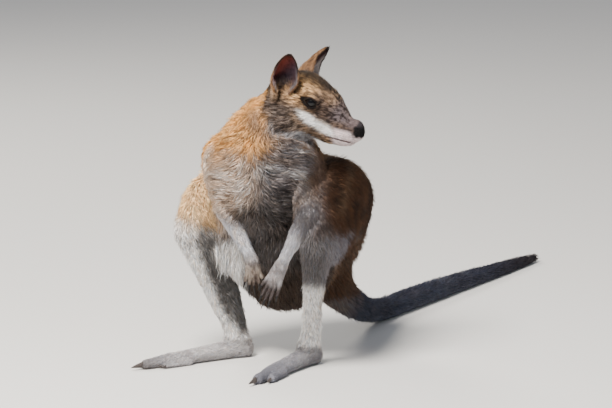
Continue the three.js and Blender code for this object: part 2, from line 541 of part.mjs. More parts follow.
// Lower legs and feet
for (const [side, g] of Object.entries(legs)) {
  const up = unit(sub(g.knee, g.ankle));
  const ankleCut = [add(g.ankle, mul(up, 10)), mul(up, -1)];
  const lo = [Math.min(g.knee[0], g.toe[0], g.ankle[0]) - 60, g.toe[1] - 30, -22], hi = [Math.max(g.knee[0], g.toe[0], g.ankle[0]) + 60, g.heel[1] + 50, 300];
  nodes.set(`shank_${side}`, keepBefore(g.shank, ...ankleCut));
  let foot = overFloor(surface(g.lower, lo, [hi[0], hi[1], 90], CELL_FOOT));
  foot = keepBeyond(foot, ...ankleCut);
  // claws: long fourth toe, fifth toe, and the joined second and third toes
  const fd = unit(sub(g.toe, g.heel)), fl = cross([0, 0, 1], fd), L = size(sub(g.toe, g.heel));
  const at = (t, o, z) => add(g.heel, add(mul(fd, t * L), add(mul(fl, o), [0, 0, z])));
  for (const [name, t0, o0, t1, o1, r0, r1, length, r] of TOES) {
    const a = at(t0, g.s * o0, r0 - SOLE_SINK), b = at(t1, g.s * o1, Math.max(r1 - SOLE_SINK, r * 1.1 + 1.2)), dir = unit(sub(b, a));
    foot = foot.add(digit(a, b, r0, r1));
    nodes.set(`claw_foot_${side}_${name}`, claw(add(b, mul(dir, GAP)), dir, cross(unit(cross(dir, [0, 0, 1])), dir).map((q) => -q), length, r, 0.08));
  }
  foot = overFloor(foot);
  nodes.set(`foot_${side}`, foot);
}

// Tail in three lengths
const tailRoot = surface(trunkField, [-90, 0, -25], [110, 260, 230], CELL_TAIL);
nodes.set("tail_base", overFloor(keepBefore(keepBeyond(tailRoot, ...TAIL_CUT), ...TAIL_CUT_2)));
const tailRows = line(TAIL, 26);
const tailLoft = loft(tailRows.filter((r) => r[1] > 150).map((r, i, all) => {
  const q = all[Math.min(i + 1, all.length - 1)], p = all[Math.max(i - 1, 0)];
  const d = unit(sub(q, p)), s = unit(cross(d, [0, 0, 1])), u = cross(s, d);
  return [...Array(10).keys()].map((j) => {
    const w = ((j + 0.5) / 10) * 2 * Math.PI;
    return add(r, add(mul(s, Math.cos(w) * r[3]), mul(u, -Math.sin(w) * r[4])));
  });
}));
nodes.set("tail_middle", overFloor(keepBefore(keepBeyond(tailLoft, ...TAIL_CUT_2), ...TAIL_CUT_3)));
nodes.set("tail_tip", overFloor(keepBeyond(tailLoft, ...TAIL_CUT_3)));

// Head with eye sockets and flats for the ears
let headSolid = keepBeyond(keepBeyond(headBlob, ...HEAD_CUT), ...NECK_CUT);
for (const [side, s] of [["right", -1], ["left", 1]]) {
  const eye = onHead(EYE_PLACE[0], EYE_PLACE[1] * s, EYE_PLACE[2]);
  const ball = (r) => fromGeometry(new THREE.SphereGeometry(r, 10, 7), new THREE.Matrix4().setPosition(...eye));
  headSolid = headSolid.subtract(ball(EYE_RADIUS + GAP));
  nodes.set(`eye_${side}`, ball(EYE_RADIUS));
  const base = onHead(...(s < 0 ? EAR_BASE_R : EAR_BASE_L));
  const lean = s < 0 ? [17, -30, 68] : [34, 38, 62];
  const along = unit(sub(place([0, 0, 0], HEAD, lean), [0, 0, 0]));
  const opening = place([0, 0, 0], HEAD, s < 0 ? [0.5, -0.8, 0.2] : [0.94, 0.18, -0.05]);
  headSolid = headSolid.subtract(block(base, along, s < 0 ? 44 : 56, 60));
  const leaf = ear(add(base, mul(along, GAP)), along, opening);
  nodes.set(`ear_${side}`, orient(leaf.pos, leaf.idx));
}
nodes.set("head", headSolid);

// ------------------------------------------------------------------ output
// Largest closed piece of a solid as a geometry. Corners that belong to two sheets and
// fall on one point are drawn a hair's breadth inwards, so the sheets stay apart.
function geometryOf(m) {
  const mesh = m.getMesh();
  const np = mesh.numProp, T = [...mesh.triVerts], P = [];
  for (let i = 0; i < mesh.vertProperties.length; i += np) P.push([0, 1, 2].map((a) => mesh.vertProperties[i + a]));
  const link = P.map((_, i) => i);
  const find = (i) => { while (link[i] !== i) i = link[i] = link[link[i]]; return i; };
  for (let i = 0; i < T.length; i += 3) for (let k = 1; k < 3; k++) link[find(T[i])] = find(T[i + k]);
  const volume = new Map(), normal = P.map(() => [0, 0, 0]);
  for (let i = 0; i < T.length; i += 3) {
    const [a, b, c] = [T[i], T[i + 1], T[i + 2]];
    const r = find(a), n = cross(sub(P[b], P[a]), sub(P[c], P[a]));
    volume.set(r, (volume.get(r) || 0) + dot(P[a], cross(P[b], P[c])) / 6);
    for (const v of [a, b, c]) normal[v] = add(normal[v], n);
  }
  const keep = [...volume.entries()].sort((a, b) => b[1] - a[1])[0][0];
  const seen = new Map();
  P.forEach((p, i) => {
    if (find(i) !== keep) return;
    const key = (q) => q.map((v) => Math.round(v * 500)).join();
    for (let r = 0; r < 20 && seen.has(key(P[i])); r++) P[i] = sub(P[i], mul(unit(add(normal[i], [1e-9, 0, 0])), 0.02));
    seen.set(key(P[i]), i);
  });
  const out = [];
  for (let i = 0; i < T.length; i += 3) if (find(T[i]) === keep) for (let k = 0; k < 3; k++) out.push(...P[T[i + k]]);
  let g = new THREE.BufferGeometry();
  g.setAttribute("position", new THREE.Float32BufferAttribute(out, 3));
  g = mergeVertices(g, 1e-4);
  g.computeVertexNormals();
  return g;
}
const COLOURS = {
  coat_brown: ["#a98256", 0.9], coat_grey: ["#b9b2a8", 0.9], coat_white: ["#d9d4cb", 0.9],
  coat_tail: ["#8f8a84", 0.9], ear_skin: ["#8a6254", 0.85], eye: ["#120d0b", 0.08], claw: ["#1c1a19", 0.4],
};
function slotOf(name) {
  if (name.startsWith("claw")) return "claw";
  if (name.startsWith("eye")) return "eye";
  if (name.startsWith("ear")) return "ear_skin";
  if (name.startsWith("tail")) return "coat_tail";
  if (/^(shank|foot|hand|forearm)/.test(name)) return "coat_white";
  if (/^(head|neck|thigh)/.test(name)) return "coat_brown";
  return "coat_grey";
}
const geometries = new Map([...nodes].map(([name, m]) => [name, geometryOf(m)]));
const box = new THREE.Box3();
for (const g of geometries.values()) {
  g.computeBoundingBox();
  box.union(g.boundingBox);
}
const wallaby = new THREE.Group();
wallaby.name = "wallaby";
for (const [name, g] of geometries) {
  g.translate(-(box.min.x + box.max.x) / 2, -(box.min.y + box.max.y) / 2, -box.min.z);
  const [colour, roughness] = COLOURS[slotOf(name)];
  const material = new THREE.MeshStandardMaterial({ color: new THREE.Color(colour), roughness, metalness: 0 });
  material.name = slotOf(name);
  const mesh = new THREE.Mesh(g, material);
  mesh.name = name;
  wallaby.add(mesh);
}

export default wallaby;
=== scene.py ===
"""Agile wallaby, life size: skin, eyes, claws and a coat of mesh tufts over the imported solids."""
import bpy
import math
import time
import numpy as np
from mathutils import Matrix, Vector


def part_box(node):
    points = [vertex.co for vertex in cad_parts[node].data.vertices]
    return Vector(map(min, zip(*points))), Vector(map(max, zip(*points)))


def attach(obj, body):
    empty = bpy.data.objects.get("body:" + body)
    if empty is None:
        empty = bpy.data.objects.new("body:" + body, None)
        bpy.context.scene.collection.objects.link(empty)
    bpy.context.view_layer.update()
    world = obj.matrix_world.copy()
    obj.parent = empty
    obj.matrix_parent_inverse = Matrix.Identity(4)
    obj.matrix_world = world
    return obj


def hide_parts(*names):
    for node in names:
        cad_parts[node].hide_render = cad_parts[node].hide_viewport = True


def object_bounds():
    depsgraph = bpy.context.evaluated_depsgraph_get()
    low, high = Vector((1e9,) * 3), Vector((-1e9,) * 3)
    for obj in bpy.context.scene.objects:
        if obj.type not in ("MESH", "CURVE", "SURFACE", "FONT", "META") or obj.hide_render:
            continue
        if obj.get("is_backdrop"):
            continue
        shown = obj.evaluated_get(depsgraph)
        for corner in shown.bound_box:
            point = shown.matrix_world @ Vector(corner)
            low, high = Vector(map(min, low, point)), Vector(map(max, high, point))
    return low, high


T0 = time.time()
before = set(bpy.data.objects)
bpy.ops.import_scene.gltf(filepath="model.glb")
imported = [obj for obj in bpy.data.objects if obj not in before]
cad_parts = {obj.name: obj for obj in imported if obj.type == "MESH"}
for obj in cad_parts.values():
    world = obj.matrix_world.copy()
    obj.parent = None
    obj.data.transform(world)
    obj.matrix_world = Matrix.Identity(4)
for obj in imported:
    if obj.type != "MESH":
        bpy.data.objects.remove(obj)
BOX_LO, BOX_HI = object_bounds()
BOX_LO, BOX_HI = [float(v) for v in BOX_LO], [float(v) for v in BOX_HI]
rng = np.random.default_rng(20260523)


def say(*words):
    print("[%5.1f s]" % (time.time() - T0), *words, flush=True)


# ------------------------------------------------------------------ sizes
# Skeleton coordinates in millimetres; SHIFT, set below from an eye solid, moves them to the frame of the solids.
SOLE_SINK = 1.4
A = np.array
HIP = {"R": A([-30, -30, 258.0]), "L": A([56, -22, 256.0])}
KNEE = {"R": A([-86, -180, 205.0]), "L": A([130, -142, 205.0])}
ANKLE = {"R": A([-53, -112, 38.0]), "L": A([75, -90, 38.0])}
HEEL = {"R": A([-41, -87, 0.0]), "L": A([69, -62, 0.0])}
RUMP = {"R": A([-8, 0, 15.0]), "L": A([10, 12, 10.0])}
TOE = {"R": A([-112, -287, 0.0]), "L": A([97, -262, 0.0])}
SHOULDER = {"R": A([-27, -172, 328.0]), "L": A([76, -114, 326.0])}
ELBOW = {"R": A([-17, -177, 249.0]), "L": A([124, -154, 256.0])}
WRIST = {"R": A([42, -187, 176.0]), "L": A([96, -185, 175.0])}
HAND_TIP = {"R": A([50, -193, 138.0]), "L": A([76, -200, 121.0])}
SIDES = {"R": -1.0, "L": 1.0}
WORD = {"R": "right", "L": "left"}
HEAD_ORIGIN = A([94, -118, 424.0])
HEAD_FORWARD = A([0.9636, 0.133, -0.2329])
EYE_PLACE = A([23, 26.5, 6.5])
EYE_RADIUS = 10.5
EAR_BASE = {"R": A([-31.5, -28, 10.5]), "L": A([-43, 28, 15.0])}
EAR_OPENING = {"R": A([0.5, -0.8, 0.2]), "L": A([0.94, 0.18, -0.05])}
EAR_LENGTH = 72.0
EAR_LEAN = {"R": A([17, -30, 68.0]), "L": A([34, 38, 62.0])}

TRUNK = [
    [13, 52, 190, 44, 46], [14, 22, 218, 70, 72], [14, -18, 240, 84, 82], [12, -68, 254, 88, 86],
    [15, -108, 276, 88, 80], [22, -130, 306, 86, 72], [28, -138, 336, 78, 60], [34, -140, 362, 58, 48]]
NECK = [[34, -140, 352, 54, 52], [50, -137, 382, 44, 44], [70, -130, 404, 36, 39], [88, -122, 420, 30, 36]]
TAIL = [
    [11, 34, 175, 50, 54], [5, 46, 128, 39, 44], [3, 72, 88, 32, 35], [1, 116, 57, 25, 27],
    [-12, 166, 36, 21, 21], [-26, 215, 24, 19, 19], [-42, 268, 18.5 - SOLE_SINK, 18.5, 18.5],
    [-53, 335, 19 - SOLE_SINK, 18.5, 19], [-66, 420, 18 - SOLE_SINK, 17.5, 18],
    [-82, 525, 16 - SOLE_SINK, 15.5, 16], [-99, 650, 12.5 - SOLE_SINK, 12, 12.5],
    [-113, 745, 9.5, 9, 9], [-121, 803, 8, 5.5, 5.5]]
SKULL = [
    [-46, -2, 18, 24], [-28, -4, 27, 38], [-4, -5, 29, 48], [22, -10.5, 28, 44.5],
    [45, -19, 24, 36], [62, -24.5, 20.5, 28], [80, -25.5, 17.5, 21], [92, -22.5, 14, 16.5]]
# Toes: share of the foot for root and tip, sideways places, radii, claw length and radius
TOES = {
    "fourth": (0.7, 1, 0.93, 1, 11.2, 8.2, 21, 5), "fifth": (0.6, 9.5, 0.83, 15.5, 8.4, 6.4, 13, 3.6),
    "third": (0.58, -8.5, 0.79, -9.2, 6, 3.6, 8, 2.2), "second": (0.56, -10.5, 0.785, -15.2, 5.6, 3.5, 8, 2.2)}
FINGERS = [(-8.3, -6, 0.6), (-4.3, -3.2, 0.92), (0, 0, 1), (4.3, 3.2, 0.94), (8.1, 6.4, 0.7)]


# ------------------------------------------------------------------ vectors
def unit(a):
    a = np.asarray(a, float)
    return a / np.linalg.norm(a)


def units(a):
    return a / np.maximum(np.linalg.norm(a, axis=-1, keepdims=True), 1e-9)


def frame_of(forward, up=(0, 0, 1)):
    f = unit(forward)
    l = unit(np.cross(up, f))
    return A([f, l, np.cross(f, l)])


HEAD = frame_of(HEAD_FORWARD)


def on_head(x, y, z):
    return HEAD_ORIGIN + A([x, y, z], float) @ HEAD


def to_head(P):
    return (P - HEAD_ORIGIN) @ HEAD.T


def smooth(a, b, x):
    t = np.clip((x - a) / (b - a), 0, 1)
    return t * t * (3 - 2 * t)


# ------------------------------------------------------------------ soft volumes
FAR = 70.0


def blend(a, b, k):
    h = np.maximum(k - np.abs(a - b), 0)
    return np.minimum(a, b) - (h * h / (4 * k) if k > 0 else 0)


def carve(a, b, k):
    """a with b taken out of it."""
    h = np.maximum(k - np.abs(a + b), 0)
    return np.maximum(a, -b) + (h * h / (4 * k) if k > 0 else 0)


class Volume:
    """fn(P) with a box outside of which it is far."""

    def __init__(self, fn, lo, hi):
        self.fn, self.lo, self.hi = fn, np.asarray(lo, float), np.asarray(hi, float)

    def __call__(self, P):
        near = np.all((P > self.lo - FAR) & (P < self.hi + FAR), axis=1)
        d = np.full(len(P), FAR)
        if near.any():
            d[near] = np.minimum(self.fn(P[near]), FAR)
        return d


def ellipsoid(c, r, fr=np.eye(3)):
    c, r, fr = np.asarray(c, float), np.asarray(r, float), np.asarray(fr, float)

    def fn(P):
        q = ((P - c) @ fr.T) / r
        k0 = np.maximum(np.linalg.norm(q, axis=1), 1e-6)
        return k0 * (k0 - 1) / np.maximum(np.linalg.norm(q / r, axis=1), 1e-9)
    R = r.max()
    return Volume(fn, c - R, c + R)


def catmull(pts, n):
    """Centripetal Catmull-Rom through pts, at n + 1 even parameters, like the solids' curve."""
    pts = np.asarray(pts, float)
    m = len(pts) - 1
    out = []
    for i in range(n + 1):
        t = i / n * m
        j = min(int(t), m - 1)
        w = t - j
        p1, p2 = pts[j], pts[j + 1]
        p0 = pts[j - 1] if j > 0 else 2 * p1 - p2
        p3 = pts[j + 2] if j + 2 <= m else 2 * p2 - p1
        d0, d1, d2 = [max(np.sum((b - a) ** 2) ** 0.25, 1e-4) for a, b in ((p0, p1), (p1, p2), (p2, p3))]
        t1 = ((p1 - p0) / d0 - (p2 - p0) / (d0 + d1) + (p2 - p1) / d1) * d1
        t2 = ((p2 - p1) / d1 - (p3 - p1) / (d1 + d2) + (p3 - p2) / d2) * d1
        out.append(p1 + t1 * w + (-3 * p1 + 3 * p2 - 2 * t1 - t2) * w * w + (2 * p1 - 2 * p2 + t1 + t2) * w ** 3)
    return A(out)


def line(stations, steps):
    s = np.asarray(stations, float)
    m = len(s) - 1
    c = catmull(s[:, :3], steps)
    t = np.linspace(0, m, steps + 1)
    j = np.minimum(t.astype(int), m - 1)
    w = (t - j)[:, None]
    e = 0.5 * w + 0.5 * w * w * (3 - 2 * w)
    return np.hstack([c, s[j, 3:] + (s[j + 1, 3:] - s[j, 3:]) * e])


def tube(stations, side, steps):
    rows = line(stations, steps)
    a, b = rows[:-1, :3], rows[1:, :3]
    d = b - a
    dirs = units(d)
    side = np.asarray(side, float)
    sd = units(side - dirs * (dirs @ side)[:, None])
    reach = rows[:, 3:5].max(1)

    def fn(P):
        best = np.full(len(P), FAR)
        for i in range(steps):
            R = max(reach[i], reach[i + 1]) + FAR * 0.6
            lo, hi = np.minimum(a[i], b[i]) - R, np.maximum(a[i], b[i]) + R
            near = np.flatnonzero(np.all((P > lo) & (P < hi), axis=1))
            if not len(near):
                continue
            p = P[near] - a[i]
            t = np.clip(p @ d[i] / (d[i] @ d[i]), 0, 1)
            o = p - t[:, None] * d[i]
            rs = rows[i, 3] + (rows[i + 1, 3] - rows[i, 3]) * t
            ru = rows[i, 4] + (rows[i + 1, 4] - rows[i, 4]) * t
            ls = o @ sd[i]
            full = np.einsum("ij,ij->i", o, o)
            rest = np.maximum(full - ls * ls, 0)
            q = np.maximum(np.sqrt(ls * ls / (rs * rs) + rest / (ru * ru)), 1e-6)
            v = np.where(q > 1e-4, np.sqrt(full) * (1 - 1 / q), -np.minimum(rs, ru))
            best[near] = np.minimum(best[near], v)
        return best
    lo, hi = rows[:, :3].min(0) - reach.max(), rows[:, :3].max(0) + reach.max()
    return Volume(fn, lo, hi)


def limb(a, b, ra, rb):
    a, b = np.asarray(a, float), np.asarray(b, float)
    d = b - a

    def fn(P):
        p = P - a
        t = np.clip(p @ d / (d @ d), 0, 1)
        return np.linalg.norm(p - t[:, None] * d, axis=1) - (ra + (rb - ra) * t)
    R = max(ra, rb)
    return Volume(fn, np.minimum(a, b) - R, np.maximum(a, b) + R)


def group(parts):
    """parts: (volume, blend radius) in turn."""
    lo = np.min([p.lo for p, k in parts], 0)
    hi = np.max([p.hi for p, k in parts], 0)

    def fn(P):
        d = parts[0][0](P)
        for p, k in parts[1:]:
            d = blend(d, p(P), k)
        return d
    return Volume(fn, lo, hi)


# ------------------------------------------------------------------ anatomy
trunk = tube(TRUNK, unit([0.93, 0.36, 0]), 40)
belly = ellipsoid([12, -104, 222], [84, 70, 88])
paunch = ellipsoid([10, -50, 166], [74, 76, 93])
fold = limb(A([-62, -140, 186]), A([2, -85, 112]), 26, 30)
chest = ellipsoid([32, -158, 306], [60, 42, 52], frame_of([0.87, 0.5, 0]))
withers = ellipsoid([24, -104, 330], [52, 46, 52])
neck = tube(NECK, unit([0.98, 0.17, 0]), 14)
tail = tube(TAIL, [1, 0, 0], 48)
torso = group([(trunk, 0), (belly, 40), (paunch, 30), (fold, 24), (chest, 40), (withers, 46), (neck, 30), (tail, 40)])
tail_only = group([(tube(TAIL[2:], [1, 0, 0], 30), 0)])
neck_only = group([(tube(NECK[1:], unit([0.98, 0.17, 0]), 8), 0)])

head_parts = [(tube([[*on_head(x, 0, z), a, b] for x, z, a, b in SKULL], HEAD[1], 24), 0)]
for s in (-1, 1):
    head_parts += [
        (ellipsoid(on_head(6, 17 * s, -20), [30, 16, 24], HEAD), 16),
        (ellipsoid(on_head(22, 20 * s, 15), [15, 10, 9], HEAD), 8),
        (ellipsoid(on_head(70, 9 * s, -27), [20, 9.5, 11], HEAD), 8),  # whisker pad
        (ellipsoid(on_head(88, 6 * s, -27), [9, 6.5, 8], HEAD), 5),  # upper lip
    ]
head_parts += [
    (ellipsoid(on_head(92, 0, -17), [10.5, 12, 13], HEAD), 8),
    (ellipsoid(on_head(73, 0, -41), [20, 9.5, 7.5], HEAD), 8),
]
skull = group(head_parts)

EYES = {k: on_head(EYE_PLACE[0], EYE_PLACE[1] * s, EYE_PLACE[2]) for k, s in SIDES.items()}
eye_lo, eye_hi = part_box("eye_right")
SHIFT = (A(list(eye_lo)) + A(list(eye_hi))) * 500 - EYES["R"]
GAZE = {k: unit(A([0.36, s * 0.92, 0.1]) @ HEAD) for k, s in SIDES.items()}
EAR = {}
for k, s in SIDES.items():
    d = unit(EAR_LEAN[k] @ HEAD)
    o = EAR_OPENING[k] @ HEAD
    o = unit(o - d * (d @ o))
    EAR[k] = {"base": on_head(*EAR_BASE[k]), "d": d, "o": o, "e": np.cross(d, o), "s": s}


def ear_coords(P, ear):
    q = P - ear["base"]
    return q @ ear["e"], q @ ear["o"], q @ ear["d"]


def ear_arc(h):
    """Radius, half angle and centre offset of the ear's arc at height h along it."""
    t = np.clip(h / EAR_LENGTH, 0, 1)
    width = 19.5 * np.maximum(np.sin(np.pi * np.minimum(1, 0.24 + 0.76 * t) ** 1.12), 1e-6) ** 0.62 + 1.6
    half = 2.5 + (1.15 - 2.5) * np.minimum(1, t * 1.5)
    w2 = np.minimum(1, t * 2.4)
    rnd = 12.5 + (width / np.minimum(1, np.sin(np.minimum(half, 1.57))) - 12.5) * w2
    return t, rnd, half, rnd * 0.55 - 5 * t * t + 3


def ear_volume(ear):
    def fn(P):
        x, y, h = ear_coords(P, ear)
        t, rnd, half, off = ear_arc(h)
        rho = np.hypot(x, y - off)
        q = np.abs(np.arctan2(x, -(y - off)))
        wall = 1.25 + 2.2 * (1 - smooth(-4, 22, h)) - 0.35 * smooth(40, 70, h)
        mid = rnd - 1.6 - 1.6 * (1 - smooth(-4, 22, h))
        sheet = np.abs(rho - mid) - wall
        edge = (q - half) * np.maximum(rnd - 2, 2)
        d = blend_max(blend_max(sheet, edge, 1.4), h - EAR_LENGTH + 0.6, 1.5)
        return blend_max(d, -12 - h, 2)
    c = ear["base"] + ear["d"] * 32
    return Volume(fn, c - 52, c + 52)


def blend_max(a, b, k):
    return -blend(-a, -b, k)


ears = {k: ear_volume(EAR[k]) for k in SIDES}


def leg_volumes(k):
    s, hip, knee, ankle, heel, toe = SIDES[k], HIP[k], KNEE[k], ANKLE[k], HEEL[k], TOE[k]
    mix = lambda a, b, t: a + (b - a) * t
    haunch = tube([
        [*(hip + A([s * 2, 34, -22]) + RUMP[k]), 34, 52], [*(mix(hip, knee, 0.25) + A([s * 8, 0, -4]) + RUMP[k]), 40, 74],
        [*(mix(hip, knee, 0.68) + [s * 12, 6, 14]), 36 if s < 0 else 33, 68], [*(knee + [-s * 2, 8, 4]), 25, 34]], unit([s, -0.15, 0]), 20)
    L = np.linalg.norm(toe - heel)
    fd = unit(toe - heel)
    fl = np.cross([0, 0, 1], fd)
    back = unit(A([heel[0], heel[1], ankle[2]]) - ankle)
    at = lambda t, o, r: heel + fd * t * L + fl * o + A([0, 0, r - SOLE_SINK])
    shank = tube([
        [*(knee + [-s * 1, 5, 2]), 24, 32], [*(mix(knee, ankle, 0.25) + back * (9 if s < 0 else 6)), 19, 33 if s < 0 else 26],
        [*(mix(knee, ankle, 0.6) + back * (9 if s < 0 else 5)), 14, 29 if s < 0 else 19],
        [*(mix(knee, ankle, 0.88) + back * (5 if s < 0 else 3)), 13, 21 if s < 0 else 17],
        [*ankle, 14, 17]], fl, 18)
    hb = at(0, 0, 15)
    shin = group([(shank, 0), (limb(mix(knee, ankle, 0.72) + back * 14, hb + fd * 14, 8, 12), 14)])
    parts = [
        (limb(hb + fd * 13, ankle + [0, 0, -14], 14, 15), 0),
        (tube([[*at(0.1, 0, 15), 14, 15], [*at(0.28, 0, 14.5), 13.5, 14.5], [*at(0.5, 0, 12.5), 13.5, 12.5],
               [*at(0.64, 0, 11.2), 14.5, 11.2], [*at(0.73, 0, 9), 11, 9]], fl, 14), 12)]
    claws = {}
    for name, (t0, o0, t1, o1, r0, r1, cl, cr) in TOES.items():
        a = at(t0, s * o0, r0)
        b = heel + fd * t1 * L + fl * s * o1 + A([0, 0, max(r1 - SOLE_SINK, cr * 1.1 + 1.2)])
        u = unit(b - a)
        mid = a + (b - a) * 0.82
        parts.append((limb(a, mid, r0, r1 * 0.98), 5))
        parts.append((ellipsoid(b - u * r1 * 0.75, [r1 * 1.15, r1 * 1.02, r1 * 1.0], frame_of(u)), 3))
        claws[name] = (b, u, cl, cr)
    return {"haunch": haunch, "shin": shin, "foot": group(parts), "claws": claws, "fd": fd, "fl": fl}


def arm_volumes(k):
    s, sh, el, wr, tip = SIDES[k], SHOULDER[k], ELBOW[k], WRIST[k], HAND_TIP[k]
    mix = lambda a, b, t: a + (b - a) * t
    upper = group([(ellipsoid(mix(sh, el, 0.08) + [0, 0, -4], [30, 30, 40]), 0), (limb(sh, el, 27, 17.5), 22)])
    fore = tube([[*el, 17, 17], [*mix(el, wr, 0.3), 14.6, 13.2], [*mix(el, wr, 0.75), 9.8, 9], [*wr, 9.6, 8]], [1, 0, 0], 14)
    L = np.linalg.norm(tip - wr)
    d = unit(tip - wr)
    across = unit(np.cross(d, [0.5, -0.86, 0.2]))
    palm = frame_of(d, [0.5, -0.86, 0])
    parts = [(ellipsoid(wr + d * 11, [18, 11.2, 7.5], palm), 0)]
    claws = []
    for i, (o, spread, share) in enumerate(FINGERS):
        root = wr + d * 15 + across * (-s * o)
        end = root + d * (L - 15) * share + across * (-s * spread)
        u = unit(end - root)
        out = np.cross(across, d)
        knuckle = root + (end - root) * 0.45 + out * (-1.2)
        parts.append((limb(root, knuckle, 3.5, 3.3), 3.0))
        parts.append((limb(knuckle, end - u * 2.2, 3.3, 2.8), 1.0))
        curl = unit(np.cross(d, across))
        claws.append((end, u, curl, 11 if i in (0, 4) else 17))
    return {"upper": upper, "fore": fore, "hand": group(parts), "claws": claws, "d": d, "across": across}


LEG = {k: leg_volumes(k) for k in SIDES}
ARM = {k: arm_volumes(k) for k in SIDES}


def eye_axes(k, q):
    """Forward, upward and outward parts of the vectors q from the centre of an eye."""
    g = GAZE[k]
    fwd = unit(HEAD[0] - g * (g @ HEAD[0]))
    up = unit(np.cross(fwd, g) * SIDES[k])
    if up @ HEAD[2] < 0:
        up = -up
    return q @ fwd, q @ up, q @ g


def mouth_height(x):
    """Height of the mouth line in head axes."""
    t = np.clip((92 - x) / 48, -0.2, 1)
    return -38.5 + 1.2 * np.sin(np.clip(t, 0, 1) * np.pi) - 4.6 * t + 3.0 * t * t


def head_detail(P, d):
    """Lids, nostrils and mouth worked into the distance d."""
    near = np.flatnonzero(np.abs(d) < 16)
    if not len(near):
        return d
    Q, v = P[near], d[near]
    H = to_head(Q)
    for k, s in SIDES.items():
        c = EYES[k]
        rel = Q - c
        r = np.linalg.norm(rel, axis=1)
        m = r < 26
        if not m.any():
            continue
        w = v[m]
        a, b, c2 = eye_axes(k, rel[m])
        w = blend(w, r[m] - (EYE_RADIUS + 2.4), 5)
        # almond opening with its front corner a little lower
        bb = b + 0.14 * a + 0.3
        half = 5.6 * np.clip(1 - (np.abs(a) / 10.6) ** 1.7, 0, 1) + 0.05
        opening = np.maximum((np.abs(bb) - half) * 0.9, np.abs(a) - 10.6)
        opening = np.maximum(opening, 1.0 - c2)
        w = carve(w, opening, 0.9)
        w = carve(w, r[m] - (EYE_RADIUS + 0.1), 0.3)
        v[m] = w
    x, y, z = H[:, 0], H[:, 1], H[:, 2]
    # nostrils: a comma on each side of the nose pad
    for s in (-1, 1):
        p = np.stack([x - 97.5, (y - 6.2 * s), z + 15.5], 1)
        c = math.cos(0.5), math.sin(0.5)
        u1 = p[:, 0] * c[0] + p[:, 1] * s * c[1]
        u2 = -p[:, 0] * c[1] * 1.0 + p[:, 1] * s * c[0]
        e = np.sqrt((u1 / 5.0) ** 2 + (u2 / 2.1) ** 2 + ((p[:, 2] + 0.35 * u2) / 2.3) ** 2)
        v = carve(v, (e - 1) * 2.1, 1.2)
    # mouth: a fine groove from under the nose back to below the eye
    g = np.sqrt(((z - mouth_height(x)) / 1.0) ** 2 + np.maximum(0, np.abs(x - 72) - 19) ** 2)
    v = carve(v, np.maximum(g - 0.9, -v - 2.6), 1.6)
    # split of the upper lip under the nose
    g = np.sqrt(y ** 2 + np.maximum(0, np.abs(z + 27) - 5) ** 2)
    v = carve(v, np.maximum(np.maximum(g - 0.7, -v - 1.8), 90 - x), 1.4)
    d = d.copy()
    d[near] = v
    return d


def head_field(P):
    d = skull(P)
    for k in SIDES:
        d = blend(d, ears[k](P), 5)
    return d


def depth_torso(P):
    """Coat depth over trunk, neck and tail."""
    d = 9.0 + 2.0 * np.exp(-(((P[:, 0] - 40) / 60) ** 2 + ((P[:, 1] + 190) / 40) ** 2 + ((P[:, 2] - 300) / 60) ** 2))
    d = d - 4.0 * smooth(350, 420, P[:, 2])
    back = smooth(60, 190, P[:, 1]) * (1 - smooth(150, 260, P[:, 2]))
    d = d * (1 - back) + (5.0 - 3.0 * smooth(200, 820, P[:, 1])) * back
    return d


def depth_head(P):
    H = to_head(P)
    return 3.6 - 2.6 * smooth(20, 62, H[:, 0]) - 1.0 * smooth(0, 20, H[:, 2]) + 1.5 * smooth(-20, -50, H[:, 0])


def field(P):
    """Distance-like value of the skin: nought on it, negative inside."""
    d = torso(P) + depth_torso(P)
    for k in SIDES:
        d = blend(d, LEG[k]["haunch"](P) + 8.0, 26)
    for k in SIDES:
        d = blend(d, ARM[k]["upper"](P) + 4.0, 15)
    d = blend(d, skull(P) + depth_head(P), 22)
    for k in SIDES:
        d = blend(d, ears[k](P), 6)
    near = np.all((P > on_head(30, 0, 0) - 110) & (P < on_head(30, 0, 0) + 110), axis=1)
    if near.any():
        d[near] = head_detail(P[near], d[near])
    for k in SIDES:
        low = blend(LEG[k]["shin"](P) + 4.0, LEG[k]["foot"](P) + 1.3, 14)
        d = blend(d, low, 12)
        hand = blend(ARM[k]["fore"](P) + 2.0, ARM[k]["hand"](P) + 0.6, 8)
        d = blend(d, hand, 7)
    return np.maximum(d, 0.25 - P[:, 2])


def gradient(P, e=0.35):
    f = field(P)
    g = np.stack([field(P + [e, 0, 0]) - f, field(P + [0, e, 0]) - f, field(P + [0, 0, e]) - f], 1) / e
    return f, g


# ------------------------------------------------------------------ one closed skin
def spaced(marks):
    """Grid lines: list of (end, step) from the first number on."""
    out = [marks[0]]
    for end, step in marks[1:]:
        n = max(1, int(round((end - out[-1]) / step)))
        out += list(np.linspace(out[-1], end, n + 1)[1:])
    return A(out)


